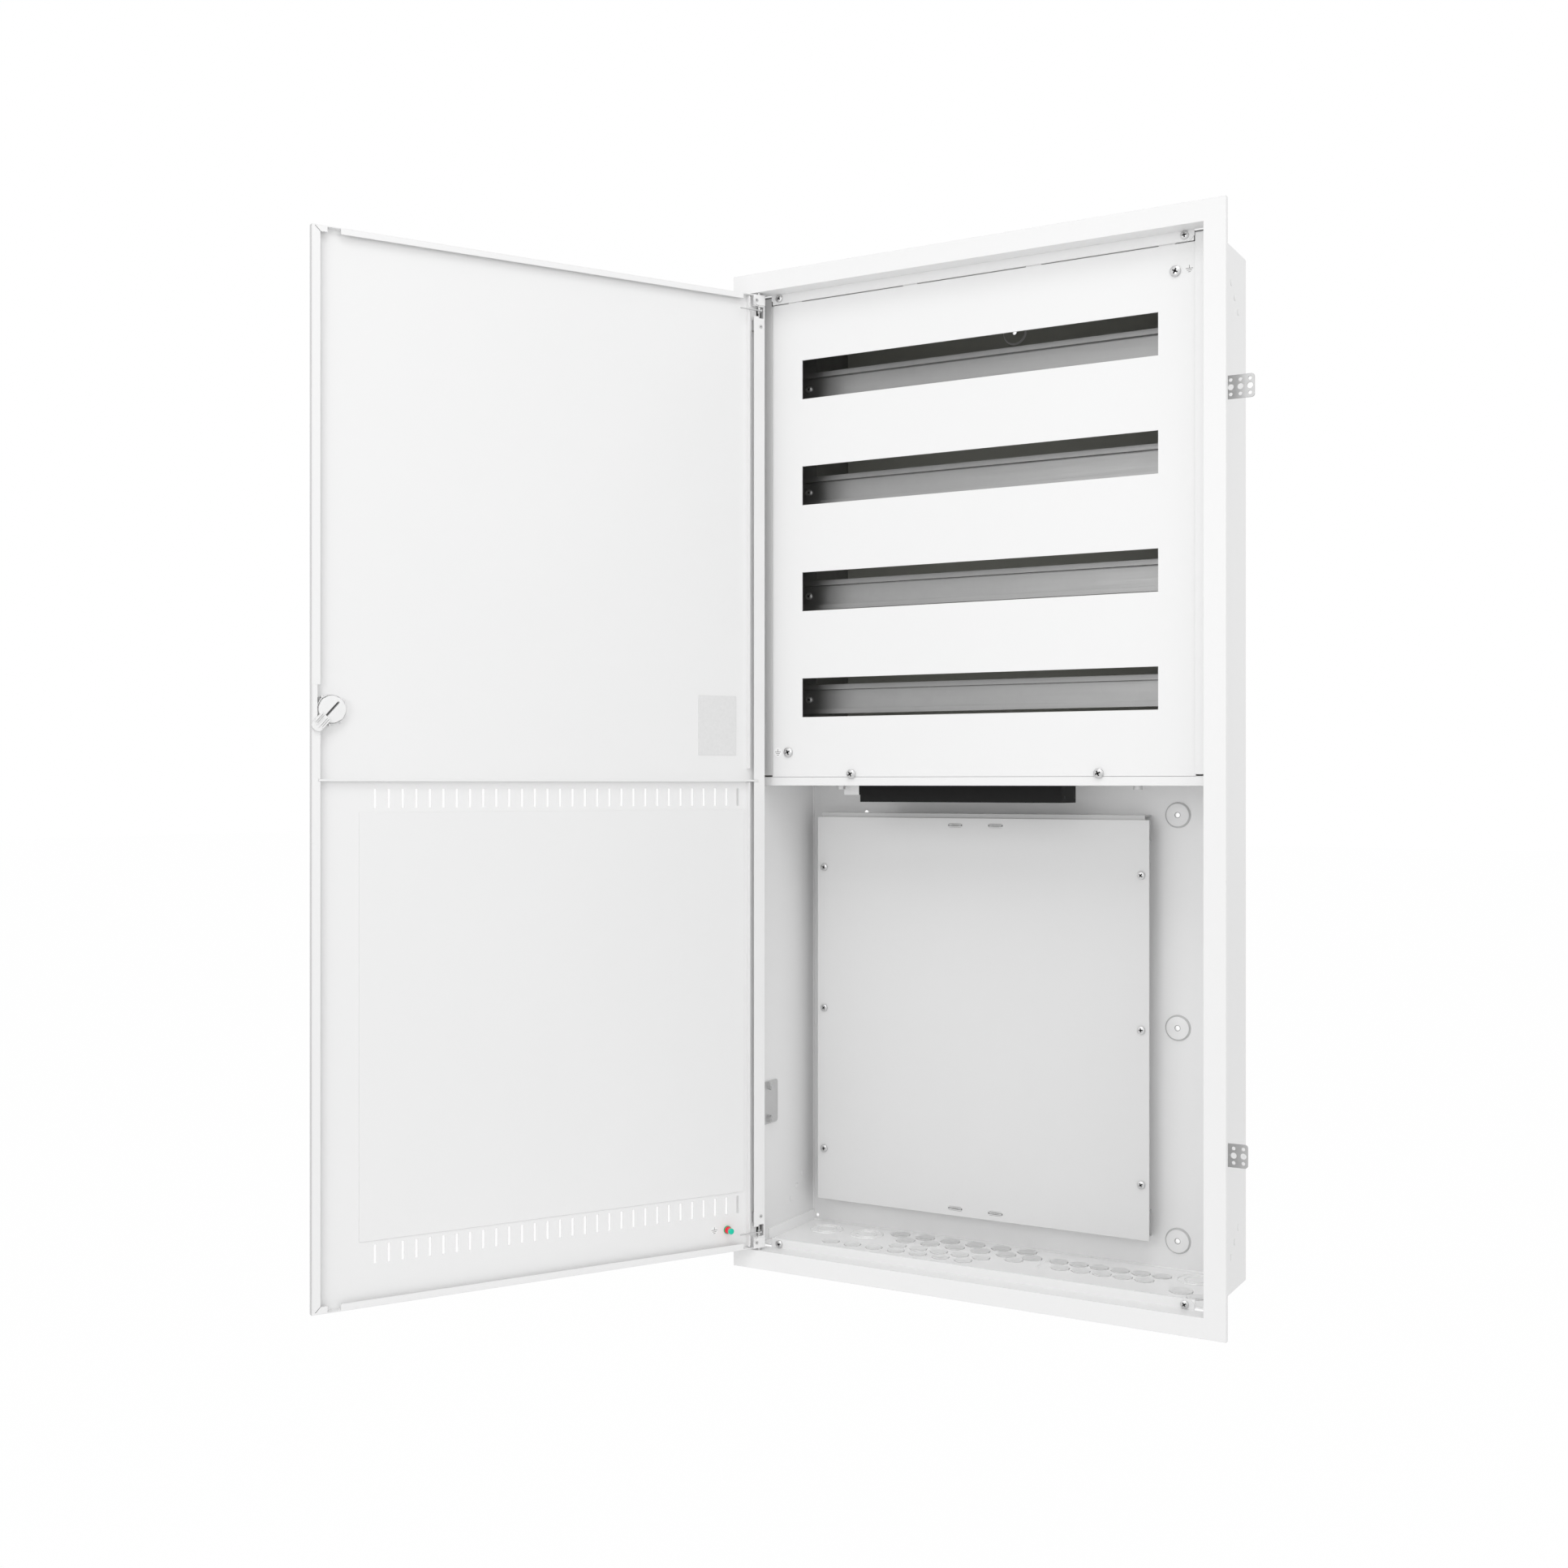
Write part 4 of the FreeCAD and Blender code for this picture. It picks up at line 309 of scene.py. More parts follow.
# making meshes: grids of points, joined into closed pieces
def cells(rows, columns, ring=True):
    # each cell joins a point with its neighbours along the row and across the columns
    across = np.arange(columns if ring else columns - 1)
    down, along = np.meshgrid(np.arange(rows - 1), across, indexing="ij")
    here = down * columns + along
    beside = down * columns + (along + 1) % columns
    return np.stack([here, beside, beside + columns, here + columns], -1).reshape(-1, 4)


def surface(points, ring=True):
    # a grid of points, rows by columns, as loose vertices with their faces
    return points.reshape(-1, 3), cells(points.shape[0], points.shape[1], ring)


def turned(profile, centre, axes, segments=32):
    # profile of (radius, height) pairs carried round the third axis of axes
    profile = np.array(profile, dtype=float)
    angle = np.linspace(0, 2 * math.pi, segments, endpoint=False)
    side, up, out = (np.array(axis, dtype=float) for axis in axes)
    ringOf = np.cos(angle)[:, None] * side + np.sin(angle)[:, None] * up
    points = profile[:, 0, None, None] * ringOf + profile[:, 1, None, None] * out
    return surface(points + np.array(centre, dtype=float))


def bar(start, end, width, height, axes):
    # flat bar between two points in the plane of the first two axes, raised along the third
    start, end = np.array(start, dtype=float), np.array(end, dtype=float)
    out = np.array(axes[2], dtype=float)
    way = (end - start) / np.linalg.norm(end - start)
    side = np.cross(out, way) * width / 2
    corners = np.array([start - side, end - side, end + side, start + side])
    levels = np.array([0.0, height])[:, None, None] * out
    points = corners[None] + levels
    cap = np.repeat(corners.mean(axis=0)[None, None], 4, axis=1)
    return surface(np.concatenate([cap, points, cap + levels[1]]))


def makePiece(name, parts, material, body, replaced=(), bevel=0.0, smooth=30):
    # joins the grids in millimetres into one mesh, merges their seams and turns faces outwards
    starts = np.cumsum([0] + [len(points) for points, faces in parts])
    points = np.concatenate([points for points, faces in parts]) * mm
    faces = np.concatenate([part[1] + start for part, start in zip(parts, starts)])
    mesh = bpy.data.meshes.new(name)
    mesh.from_pydata(points.tolist(), [], faces.tolist())
    return finishPiece(name, mesh, material, body, replaced, bevel, smooth)


def finishPiece(name, mesh, material, body, replaced, bevel, smooth, flat=False):
    work = bmesh.new()
    work.from_mesh(mesh)
    bmesh.ops.remove_doubles(work, verts=work.verts, dist=2e-6)
    if flat:
        bmesh.ops.dissolve_limit(work, angle_limit=0.01, verts=work.verts, edges=work.edges)
    bmesh.ops.recalc_face_normals(work, faces=work.faces)
    work.to_mesh(mesh)
    work.free()
    mesh.shade_smooth()
    mesh.set_sharp_from_angle(angle=math.radians(smooth))
    piece = bpy.data.objects.new(name, mesh)
    scene.collection.objects.link(piece)
    mesh.materials.append(material)
    if bevel:
        rounding = piece.modifiers.new("rounding", "BEVEL")
        rounding.width = bevel * mm
        rounding.segments = 2
        rounding.limit_method = "ANGLE"
        rounding.angle_limit = math.radians(40)
        rounding.harden_normals = True
    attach(piece, body)
    if replaced:
        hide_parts(*replaced)
    return piece


def remade(node, change, bevel=0.35):
    # a copy of a node's own mesh with some points moved and its edges rounded
    source = nodes[node].data.copy()
    points = np.empty(len(source.vertices) * 3)
    source.vertices.foreach_get("co", points)
    points = change(points.reshape(-1, 3) / mm) * mm
    source.vertices.foreach_set("co", points.reshape(-1))
    source.materials.clear()
    return finishPiece(node + "Rounded", source, special.get(node, finishes[slots[node]]),
                       bodyOf[node], (node,), bevel, 30, True)


def islandPoints(node):
    # points of a node's separate solids: points that share a triangle take the lowest label
    mesh = nodes[node].data
    points = np.empty(len(mesh.vertices) * 3)
    mesh.vertices.foreach_get("co", points)
    points = points.reshape(-1, 3) / mm
    corners = np.empty(len(mesh.loops), dtype=np.int64)
    mesh.loops.foreach_get("vertex_index", corners)
    keys, owner = np.unique(np.round(points * 100).astype(np.int64), axis=0, return_inverse=True)
    triangles = owner.reshape(-1)[corners].reshape(-1, 3)
    label = np.arange(len(keys))
    settled = False
    while not settled:
        new = label.copy()
        for corner in range(3):
            np.minimum.at(new, triangles[:, corner], label[triangles].min(axis=1))
        settled = bool((new == label).all())
        label = new
    tag = label[owner.reshape(-1)]
    return [points[tag == one] for one in np.unique(tag)]


def islands(node):
    return [(cloud.min(axis=0), cloud.max(axis=0)) for cloud in islandPoints(node)]


bodyOf = {}
for body, members in frame["record"]["behaviour"]["bodies"].items():
    bodyOf.update({member: body for member in members})


def plate(outline, low, high, centre, axes):
    # flat plate with a star-shaped outline, closed by a fan of faces on either side
    outline = np.array(outline, dtype=float)
    side, up, out = (np.array(axis, dtype=float) for axis in axes)
    flat = outline[:, 0, None] * side + outline[:, 1, None] * up + np.array(centre, dtype=float)
    hub = np.repeat(flat.mean(axis=0)[None], len(outline), axis=0)
    rows = np.array([hub + low * out, flat + low * out, flat + high * out, hub + high * out])
    return surface(rows)


def pressedHead(centre, radius, height, slots, depth, axes, dome=0.4, shank=None, tail=0.0):
    # a square grid bent into a disc and domed, with slots pressed in: each is (half width, reach, taper)
    edge = {0.0, 0.78, 0.9, 1.0}
    for half, reach, taper in slots:
        edge |= {half, half + 0.03, reach, reach + 0.04}
    lines = np.array(sorted(edge))
    lines = np.concatenate([-lines[:0:-1], lines])
    u, v = np.meshgrid(lines, lines, indexing="ij")
    x, y = u * np.sqrt(1 - v * v / 2), v * np.sqrt(1 - u * u / 2)
    z = height * (1 - dome * (x * x + y * y) ** 1.5)
    sunk = np.zeros_like(z)
    for turn, (half, reach, taper) in enumerate(slots):
        across, along = (abs(u), abs(v)) if turn == 0 else (abs(v), abs(u))
        inside = (across < half + 0.01) & (along < reach + 0.01)
        sunk = np.where(inside, np.maximum(sunk, depth * (1 - taper * along / reach)), sunk)
    z = z - sunk
    last = len(lines) - 1
    step = np.arange(last)
    rows = np.concatenate([step * 0, step, step * 0 + last, last - step])
    columns = np.concatenate([step, step * 0 + last, last - step, step * 0])
    rim = np.stack([x[rows, columns], y[rows, columns]], -1)
    stem = radius if shank is None else shank
    levels = ((radius, height * (1 - dome)), (radius, 0.0), (stem, 0.0), (stem, -tail), (0.0, -tail))
    skirt = np.array([np.column_stack([rim * reach, np.full(len(rim), level)]) for reach, level in levels])
    grid = np.stack([x * radius, y * radius, z], -1)
    side, up, out = (np.array(axis, dtype=float) for axis in axes)
    frameOf = np.array([side, up, out])
    top = surface(grid @ frameOf + centre, False)
    return [top, surface(skirt @ frameOf + centre)]


def turnedAxes(axes, degrees):
    # the first two axes turned round the third
    angle = math.radians(degrees)
    side, up, out = (np.array(axis, dtype=float) for axis in axes)
    cosine, sine = math.cos(angle), math.sin(angle)
    return (cosine * side + sine * up, cosine * up - sine * side, out)


screwKinds = {  # head height, angle of the cross, body and outward axes of each set
    "frame_screws": (2.4, (20, 62, 35, 8), "cabinet", cabinetFront),
    "cover_screws": (3.0, (24, 62), "cabinet", cabinetFront),
    "captive_screws": (5.0, (30, 24), "cabinet", cabinetFront),
    "plate_screws": (2.0, (12, 40, 66, 30, 5, 52), "cabinet", cabinetFront),
    "rail_screws": (2.5, (0, 33, 61, 15, 48, 9, 27, 70), "cabinet", cabinetFront),
}
crossSlot = {"half": 0.13, "reach": 0.52, "taper": 0.35, "depth": 0.85}


def screws():
    cross = ((crossSlot["half"], crossSlot["reach"], crossSlot["taper"]),) * 2
    for name, (headHeight, turns, body, axes) in screwKinds.items():
        parts = []
        shadows = []
        for (low, high), turn in zip(islands(name), turns):
            middle = (low + high) / 2
            seat = low[1] + headHeight
            radius = (high[0] - low[0]) / 2
            centre = np.array([middle[0], seat, middle[2]])
            here = turnedAxes(axes, turn)
            parts += pressedHead(centre, radius, headHeight, cross, headHeight * crossSlot["depth"], here,
                                 shank=radius * 0.45, tail=high[1] - seat)
            # dark bars laid in the cross recesses are painted shade
            for way in (here, turnedAxes(here, 90)):
                arm = way[0] * radius * crossSlot["reach"] * 0.8
                bed = centre + here[2] * headHeight * 0.46
                shadows.append(bar(bed - arm, bed + arm, radius * 0.25, 0.12, (way[0], way[1], here[2])))
        makePiece(name + "Heads", parts, finishes["zinc_plated_steel"], body, (name,))
        makePiece(name + "Slots", shadows, paintedShadeBlack, body)


def hingeRivets():
    # leaf rivets: a low dome with a small dimple painted dark as shade
    head = ((0, 0.1), (0.7, 0.1), (0.85, 0.75), (1.7, 0.7), (2.25, 0.35), (2.3, 0.0), (1.2, -0.05),
            (1.2, -5.0), (0, -5.0))
    dimple = ((0, 0), (0.68, 0), (0.68, 0.2), (0, 0.2))
    for name in ("hinge_screws_top", "hinge_screws_bottom"):
        points = islandPoints(name)
        parts = []
        dots = []
        for cloud in points:
            middle = (cloud.min(axis=0) + cloud.max(axis=0)) / 2
            reach = (cloud - middle) @ doorOut
            seat = middle + doorOut * (reach.max() - 0.5)
            parts.append(turned(head, seat, doorInside, 20))
            dots.append(turned(dimple, seat + doorOut * 0.05, doorInside, 12))
        makePiece(name + "Rivets", parts, rivetPaint, "door", (name,))
        makePiece(name + "Dimples", dots, paintedShadeBlack, "door")


window = {"start": 1.7, "end": 8.0, "near": 14.8, "far": 28.0}


def hingeWindowShades():
    # dark bars painted as shade in the bottoms of the windows in the hinge lip, seen past the pins
    low, high = (corner[2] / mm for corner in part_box("door_panel"))
    middle = (window["start"] + window["end"]) / 2
    beds = []
    for end, way in ((high, -1), (low, 1)):
        beds.append(bar(doorPoint(middle, end + way * window["near"], 1.05),
                        doorPoint(middle, end + way * window["far"], 1.05),
                        window["end"] - window["start"], 0.4, doorInside))
    makePiece("hingeWindowShades", beds, paintedShadeBlack, "door")


plateSlots = {"pitch": 51.6, "inset": 8.5, "fill": (18.4, 4.4), "slit": (17.6, 2.0), "core": (15.8, 1.0)}


def slotTabs():
    # each slot of the mounting plate holds a bent tab that leaves a narrow slit
    low, high = (np.array(corner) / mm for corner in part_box("mounting_plate"))
    across = (low[0] + high[0]) / 2
    fills, slits = [], []
    for x in (across - plateSlots["pitch"] / 2, across + plateSlots["pitch"] / 2):
        for z in (low[2] + plateSlots["inset"], high[2] - plateSlots["inset"]):
            for parts, (length, height), y, thick in ((fills, plateSlots["fill"], low[1] + 1, 0.98),
                                                      (slits, plateSlots["slit"], low[1] + 0.03, 0.06),
                                                      (fills, plateSlots["core"], low[1] + 0.02, 0.16)):
                half = length / 2
                parts.append(bar((x - half, y, z), (x + half, y, z), height, thick, cabinetFront))
    makePiece("slotTabs", fills, special["mounting_plate"], "cabinet")
    # the slits are painted near-black as shade
    makePiece("slotSlitShade", slits, slotShade, "cabinet")


def springs():
    # each spring is remade from its own mesh, unrounded, with mesh data of its own
    for word, joint in (("top", "upper_hinge_pin_slide"), ("bottom", "lower_hinge_pin_slide")):
        coil = remade("hinge_spring_" + word, np.copy, 0)
        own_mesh(coil)


boxSheet = 1.2  # thickness of the box's walls
boss = {"foot": 14.7, "top": 12.9, "height": 2.4, "hole": 2.75, "round": 0.3}


def fixingBosses():
    # pressed pads round the wall fixings: sloping side, flat top, hole through the middle
    foot, top, high, hole, edge = (boss[key] for key in ("foot", "top", "height", "hole", "round"))
    mounts = {mount["name"]: mount for mount in frame["record"]["mounts"]}
    outer = mounts["wall_fixings_outer"]
    wide, tall = outer["dims"]["spacing_x_mm"] / 2, outer["dims"]["spacing_y_mm"] / 2
    level = outer["pos_m"][2] / mm
    spots = [(wide, level + step * tall) for step in (-1, 0, 1)]
    spots.append((0, mounts["wall_fixing_upper"]["pos_m"][2] / mm))

    def collars(name, outline, paint, segments):
        parts = [turned(outline, (x, -boxSheet, z), cabinetFront, segments) for x, z in spots]
        makePiece(name, parts, paint, "cabinet")

    pad = ((foot, 0), (foot - edge, 0.1), (top + edge, high - 0.1), (top, high), (hole + edge, high),
           (hole, high - edge), (hole, 0), (foot, 0))
    ramp = ((14.75, 0.05), (14.75, 0.3), (13.1, high + 0.05), (top, high + 0.05), (14.4, 0.05), (14.75, 0.05))
    near, far, skin = hole + 0.1, hole + 0.7, high + 0.04
    rim = ((near, skin - 0.5), (far, skin - 0.5), (far, skin), (near, skin), (near, skin - 0.5))
    # the ramps paint the sloping sides of the pads grey and the rims paint a dark ring round each hole, both
    # as painted shade
    collars("fixingBosses", pad, special["back_shell"], 48)
    collars("fixingRampShade", ramp, rampShade, 48)
    collars("fixingRimShade", rim, slitShade, 32)


# the last entry of each row picks how dark its discs are painted as shade, darker towards the rear
knockouts = {  # rows of (radius, depth from the front, first and last place, how many, which paint)
    "face": -156.6, "rise": 0.6, "slit": 0.5, "skin": 0.08, "nib": (2.2, 1.6), "nibAngles": (200, 340),
    "rows": ((11.2, 139, -142, 22, 6, 0), (11.2, 117, -125, 37, 6, 1), (9.8, 90, -122, -15, 5, 2),
             (9.8, 70, -201, -29, 7, 2), (9.8, 100, 21.4, 21.4, 1, 2), (10.2, 118.5, 68.9, 190.2, 6, 1),
             (10.2, 95, 79.6, 177.7, 5, 2), (12.4, 73.3, 225.7, 225.7, 1, 2), (10, 58.2, 246.7, 246.7, 1, 2)),
    "large": ((20, 118.6, -233), (20, 120, -179), (20, 124, 227)),
    "slots": ((54, 91), (56, 117.5)), "slot": (14, 1.6, 0.15),
}


def knockoutDiscs():
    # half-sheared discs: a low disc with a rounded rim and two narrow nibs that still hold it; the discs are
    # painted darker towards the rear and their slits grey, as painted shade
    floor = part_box("bottom_end_plate")[0][2] / mm + boxSheet
    rise, slit, skin = knockouts["rise"], knockouts["slit"], knockouts["skin"]
    discs = ([], [], [])
    slits, nibs = [], []
    for radius, depth, first, last, count, tone in knockouts["rows"]:
        profile = ((radius, 0), (radius, rise), (radius - 0.4, rise * 1.4), (radius - 1.0, rise * 1.4),
                   (radius - 1.9, rise * 0.8), (0, rise * 0.8))
        outline = ((radius, 0), (radius + slit, 0), (radius + slit, skin), (radius, skin), (radius, 0))
        for x in np.linspace(first, last, count):
            centre = (x, knockouts["face"] + depth, floor)
            discs[tone].append(turned(profile, centre, cabinetFloor, 32))
            slits.append(turned(outline, centre, cabinetFloor, 32))
            for angle in knockouts["nibAngles"]:
                length, width = knockouts["nib"]
                way = np.array([math.cos(math.radians(angle)), math.sin(math.radians(angle)), 0])
                start = np.array(centre) + way * (radius - 0.6)
                nibs.append(bar(start, start + way * length, width, rise, cabinetFloor))
    for tone, parts in enumerate(discs):
        makePiece("knockoutDiscs%d" % tone, parts, knockoutShades[tone], "cabinet",
                  smooth=40)
    makePiece("knockoutSlitShade", slits, slitShade, "cabinet")
    makePiece("knockoutNibs", nibs, knockoutShades[2], "cabinet")
    rings = []
    for radius, depth, x in knockouts["large"]:
        centre = (x, knockouts["face"] + depth, floor)
        ridge = ((0.9, 0), (0.4, 0.8), (-0.4, 0.8), (-0.9, 0), (0.9, 0))
        for reach, segments in ((radius, 56), (radius * 0.6, 48)):
            rings.append(turned([(reach + out, up) for out, up in ridge], centre, cabinetFloor, segments))
    makePiece("largeKnockouts", rings, special["bottom_end_plate"], "cabinet")
    # the floor slots are bright bars, a painted highlight
    ribs = []
    length, width, height = knockouts["slot"]
    for x, depth in knockouts["slots"]:
        start = np.array([x, knockouts["face"] + depth - length / 2, floor])
        ribs.append(bar(start, start + (0, length, 0), width, height, cabinetFloor))
    makePiece("floorSlots", ribs, paintedHighlight, "cabinet")


seams = {"leg": 1.3, "front": -115.0, "hidden": 20}  # hidden: how far a seam runs on behind the shelf


def boxSeamHighlights():
    # narrow slanting fillets where the folded walls of the box meet, painted bright as a highlight
    leg = seams["leg"]
    low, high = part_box("back_shell")
    left, right = low[0] / mm + boxSheet, high[0] / mm - boxSheet
    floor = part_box("bottom_end_plate")[0][2] / mm + boxSheet
    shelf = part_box("partition_shelf")[0][2] / mm + seams["hidden"]
    back, front = -boxSheet, seams["front"]
    parts = []
    for start, end, first, second in (
            ((left, back, floor), (right, back, floor), (0, -leg, 0), (0, 0, leg)),
            ((left, back, floor), (left, back, shelf), (0, -leg, 0), (leg, 0, 0)),
            ((right, back, floor), (right, back, shelf), (0, -leg, 0), (-leg, 0, 0)),
            ((left, front, floor), (left, back, floor), (leg, 0, 0), (0, 0, leg)),
            ((right, front, floor), (right, back, floor), (-leg, 0, 0), (0, 0, leg))):
        start, end = np.array(start), np.array(end)
        ring = np.array([start, start + first, start + second])
        far = ring + end - start
        near, end = (np.repeat(face.mean(axis=0)[None], 3, axis=0) for face in (ring, far))
        parts.append(surface(np.array([near, ring, far, end])))
    makePiece("boxSeamHighlights", parts, paintedHighlight, "cabinet")


dimples = {  # spots: depth from the front, height over the foot
    "radius": 3.6, "rise": 0.7,
    "spots": ((126, 88), (112, 75), (98, 62), (126, 1087), (112, 1100), (98, 1113)),
}


def sideDimples():
    # small pressed domes on both faces of the side walls
    foot = cadBox[0][2] / mm
    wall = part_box("back_shell")[1][0] / mm
    size, rise = dimples["radius"], dimples["rise"]
    profile = ((0, 0), (size, 0), (size * 0.75, rise * 0.6), (size * 0.4, rise * 0.95), (0, rise))
    parts = []
    for side in (-1, 1):
        for depth, height in dimples["spots"]:
            place = (0, knockouts["face"] + depth, foot + height)
            outward = ((0, 1, 0), (0, 0, 1), (side, 0, 0))
            inward = ((0, 1, 0), (0, 0, 1), (-side, 0, 0))
            parts.append(turned(profile, np.array(place) + (side * wall, 0, 0), outward, 20))
            parts.append(turned(profile, np.array(place) + (side * (wall - boxSheet), 0, 0), inward, 20))
    makePiece("sideDimples", parts, special["back_shell"], "cabinet")


earthSign = {  # stem: its ends; bars: height and length of each
    "stem": ((0, 3.9), (0, 0.4)), "bars": ((0.4, 7.8), (-1.5, 5.2), (-3.3, 2.8)), "line": 0.6, "ink": 0.06,
}


def earthSigns():
    # protective earth sign: a stem over three bars that grow shorter
    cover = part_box("module_cover")[0][1] / mm
    mark = (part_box("door_earth_mark")[0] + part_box("door_earth_mark")[1]) / 2 / mm
    markTop = np.array(mark) + doorOut * 0.16
    for name, centre, axes, body, disc in (
            ("earthSignRight", np.array([249.2, cover - 0.02, 525.2]), cabinetFront, "cabinet", 0),
            ("earthSignLeft", np.array([-248.6, cover - 0.02, 22.2]), cabinetFront, "cabinet", 5.6),
            ("earthSignDoor", markTop, (doorInside[0], (0, 0, 1), doorOut), "door", 0)):
        side, up, out = (np.array(axis, dtype=float) for axis in axes)
        lift = 0.0
        if disc:
            film = ((0, -0.02), (disc, -0.02), (disc, 0.12), (0, 0.12))
            makePiece(name + "Disc", [turned(film, centre, axes, 40)], discFilm, body)
            lift = 0.13
        ink = []
        bars = [((-wide / 2, z), (wide / 2, z)) for z, wide in earthSign["bars"]]
        for (x, z), (toX, toZ) in [earthSign["stem"]] + bars:
            base = centre + out * lift
            ink.append(bar(base + side * x + up * z, base + side * toX + up * toZ, earthSign["line"],
                           earthSign["ink"], axes))
        makePiece(name, ink, printInk, body)


latchForm = {"along": 515.5, "up": 61.95, "low": 4.0, "high": 9.0, "disc": 14.2, "angle": -48,
             "slotHalf": 0.95, "slotReach": 10.0, "slotDepth": 3.2,
             "tongueHalf": 6.3, "tongueReach": 28.6, "tongueLow": 7.5, "tongueHigh": 10.2}


latchRibs = {  # where each starts along the tongue, its length, width and height
    "edges": (9.8, 12.5, 1.3, 1.2), "middle": (12.5, 11.5, 0.8, 0.8), "grooves": (10.6, 10.6, 0.45, 0.06),
}
latchRing = ((9.2, 1.3), (15.6, 1.3), (15.6, 5.4), (15.0, 6.0), (14.6, 5.4), (14.4, 3.8), (9.2, 3.8),
             (9.2, 1.3))
lipFill = {"from": 0.9, "to": 6.3}


def latchPieces():
    # slotted disc and ribbed tongue of the quarter-turn latch
    form = latchForm
    centre = doorPoint(form["along"], form["up"], 0)
    axes = turnedAxes((doorAlong, (0, 0, 1), doorOut), form["angle"])
    slot = ((form["slotHalf"] / form["disc"], form["slotReach"] / form["disc"], 0.0),)
    slotAxes = (axes[1], axes[0], axes[2])
    parts = pressedHead(centre + doorOut * form["low"], form["disc"], form["high"] - form["low"], slot,
                        form["slotDepth"], slotAxes, dome=0.07)
    half, reach = form["tongueHalf"], form["tongueReach"]
    bend = np.linspace(-90, 90, 13) * math.pi / 180
    nose = [(reach - half + half * math.cos(a) ** 0.7, half * math.sin(a)) for a in bend]
    outline = [(9.5, -half)] + nose + [(9.5, half)]
    parts.append(plate(outline, form["tongueLow"], form["tongueHigh"], centre, axes))

    def ribs(places, along, length, width, height):
        starts = [centre + axes[0] * along + axes[1] * y + doorOut * form["tongueHigh"] for y in places]
        return [bar(start, start + axes[0] * length, width, height, axes) for start in starts]

    parts += ribs((-half + 1.1, half - 1.1), *latchRibs["edges"])
    parts += ribs((-1.6, 1.6), *latchRibs["middle"])
    # the grooves between the ribs are grey lines of painted shade
    lines = ribs((-half + 2.1, -2.3, 2.3, half - 2.1), *latchRibs["grooves"])
    makePiece("latchGrooveShade", lines, slitShade, "latch")
    makePiece("latchDisc", parts, finishes["white_plastic"], "latch", ("latch_cam",),
              bevel=0.25, smooth=40)
    # a near-black bar at the bottom of the slot is painted shade
    bed = centre + doorOut * (form["high"] - form["slotDepth"] + 0.05)
    arm = axes[0] * (form["slotReach"] - 0.2)
    makePiece("latchSlotShade", [bar(bed - arm, bed + arm, form["slotHalf"] * 1.8, 0.3, axes)], slotShade,
              "latch")
    makePiece("latchRing", [turned(latchRing, centre, (doorAlong, (0, 0, 1), doorOut), 48)],
              finishes["white_plastic"], "door")
    lugs = []
    for angle in (38, 128, 262, 308):
        way = turnedAxes(doorInside, angle)[0]
        start = centre + way * 15.2 + doorOut * 1.2
        lugs.append(bar(start, start + way * 2.2, 1.8, 4.6, doorInside))
    makePiece("latchLugs", lugs, finishes["white_plastic"], "door")
    low, high = form["up"] - 9.7, form["up"] + 25.3
    middle = door["width"] - (lipFill["from"] + lipFill["to"]) / 2
    makePiece("latchLip", [bar(doorPoint(middle, low, 6.02), doorPoint(middle, high, 6.02),
                               lipFill["to"] - lipFill["from"], 0.98, doorInside)],
              special["door_panel"], "door")
    # a dark bar in the gap between the lip and the disc is painted shade
    gap = door["width"] - lipFill["to"] - 0.7
    bottom, top = doorPoint(gap, form["up"] - 9.5, 4.6), doorPoint(gap, form["up"] + 12, 4.6)
    makePiece("latchGapShade", [bar(bottom, top, 1.3, 0.3, doorInside)], paintedShadeBlack, "door")


earthPoint = {"along": 47.1, "up": -537.95, "ring": 4.7, "washer": 4.0, "sleeve": 3.45, "cap": 3.4,
              "levels": (1.0, 2.6, 4.2, 9.0, 12.35)}


def earthPieces():
    # green ring, red washer with its sleeve, and the rounded cap that covers the stud's end
    form = earthPoint
    foot, ring, washer, sleeve, end = form["levels"]
    centre = doorPoint(form["along"], form["up"], 0)
    cap = form["cap"]
    for name, node, slot, profile in (
            ("earthRingForm", "earth_ring", "green_plastic",
             ((0, foot), (form["ring"], foot), (form["ring"], ring - 0.3), (form["ring"] - 0.3, ring),
              (0, ring))),
            ("earthWasherForm", "earth_washer", "red_plastic",
             ((0, ring), (form["washer"], ring), (form["washer"], washer), (form["sleeve"], washer),
              (form["sleeve"], sleeve), (0, sleeve))),
            ("earthCapForm", "earth_cap", "teal_plastic",
             ((0, sleeve), (cap, sleeve), (cap, end - 0.8), (cap - 0.6, end - 0.1), (cap - 1.2, end),
              (0, end)))):
        makePiece(name, [turned(profile, centre, doorInside, 32)], finishes[slot], "door", (node,))


bristles = {"pitch": 0.85, "rows": 4, "thick": 0.16, "seed": 7, "gap": 4.0}
entryNotch = {"places": (-79.5, -48.0), "height": -30.5, "length": 4.5, "width": 3.2, "depth": 0.25}


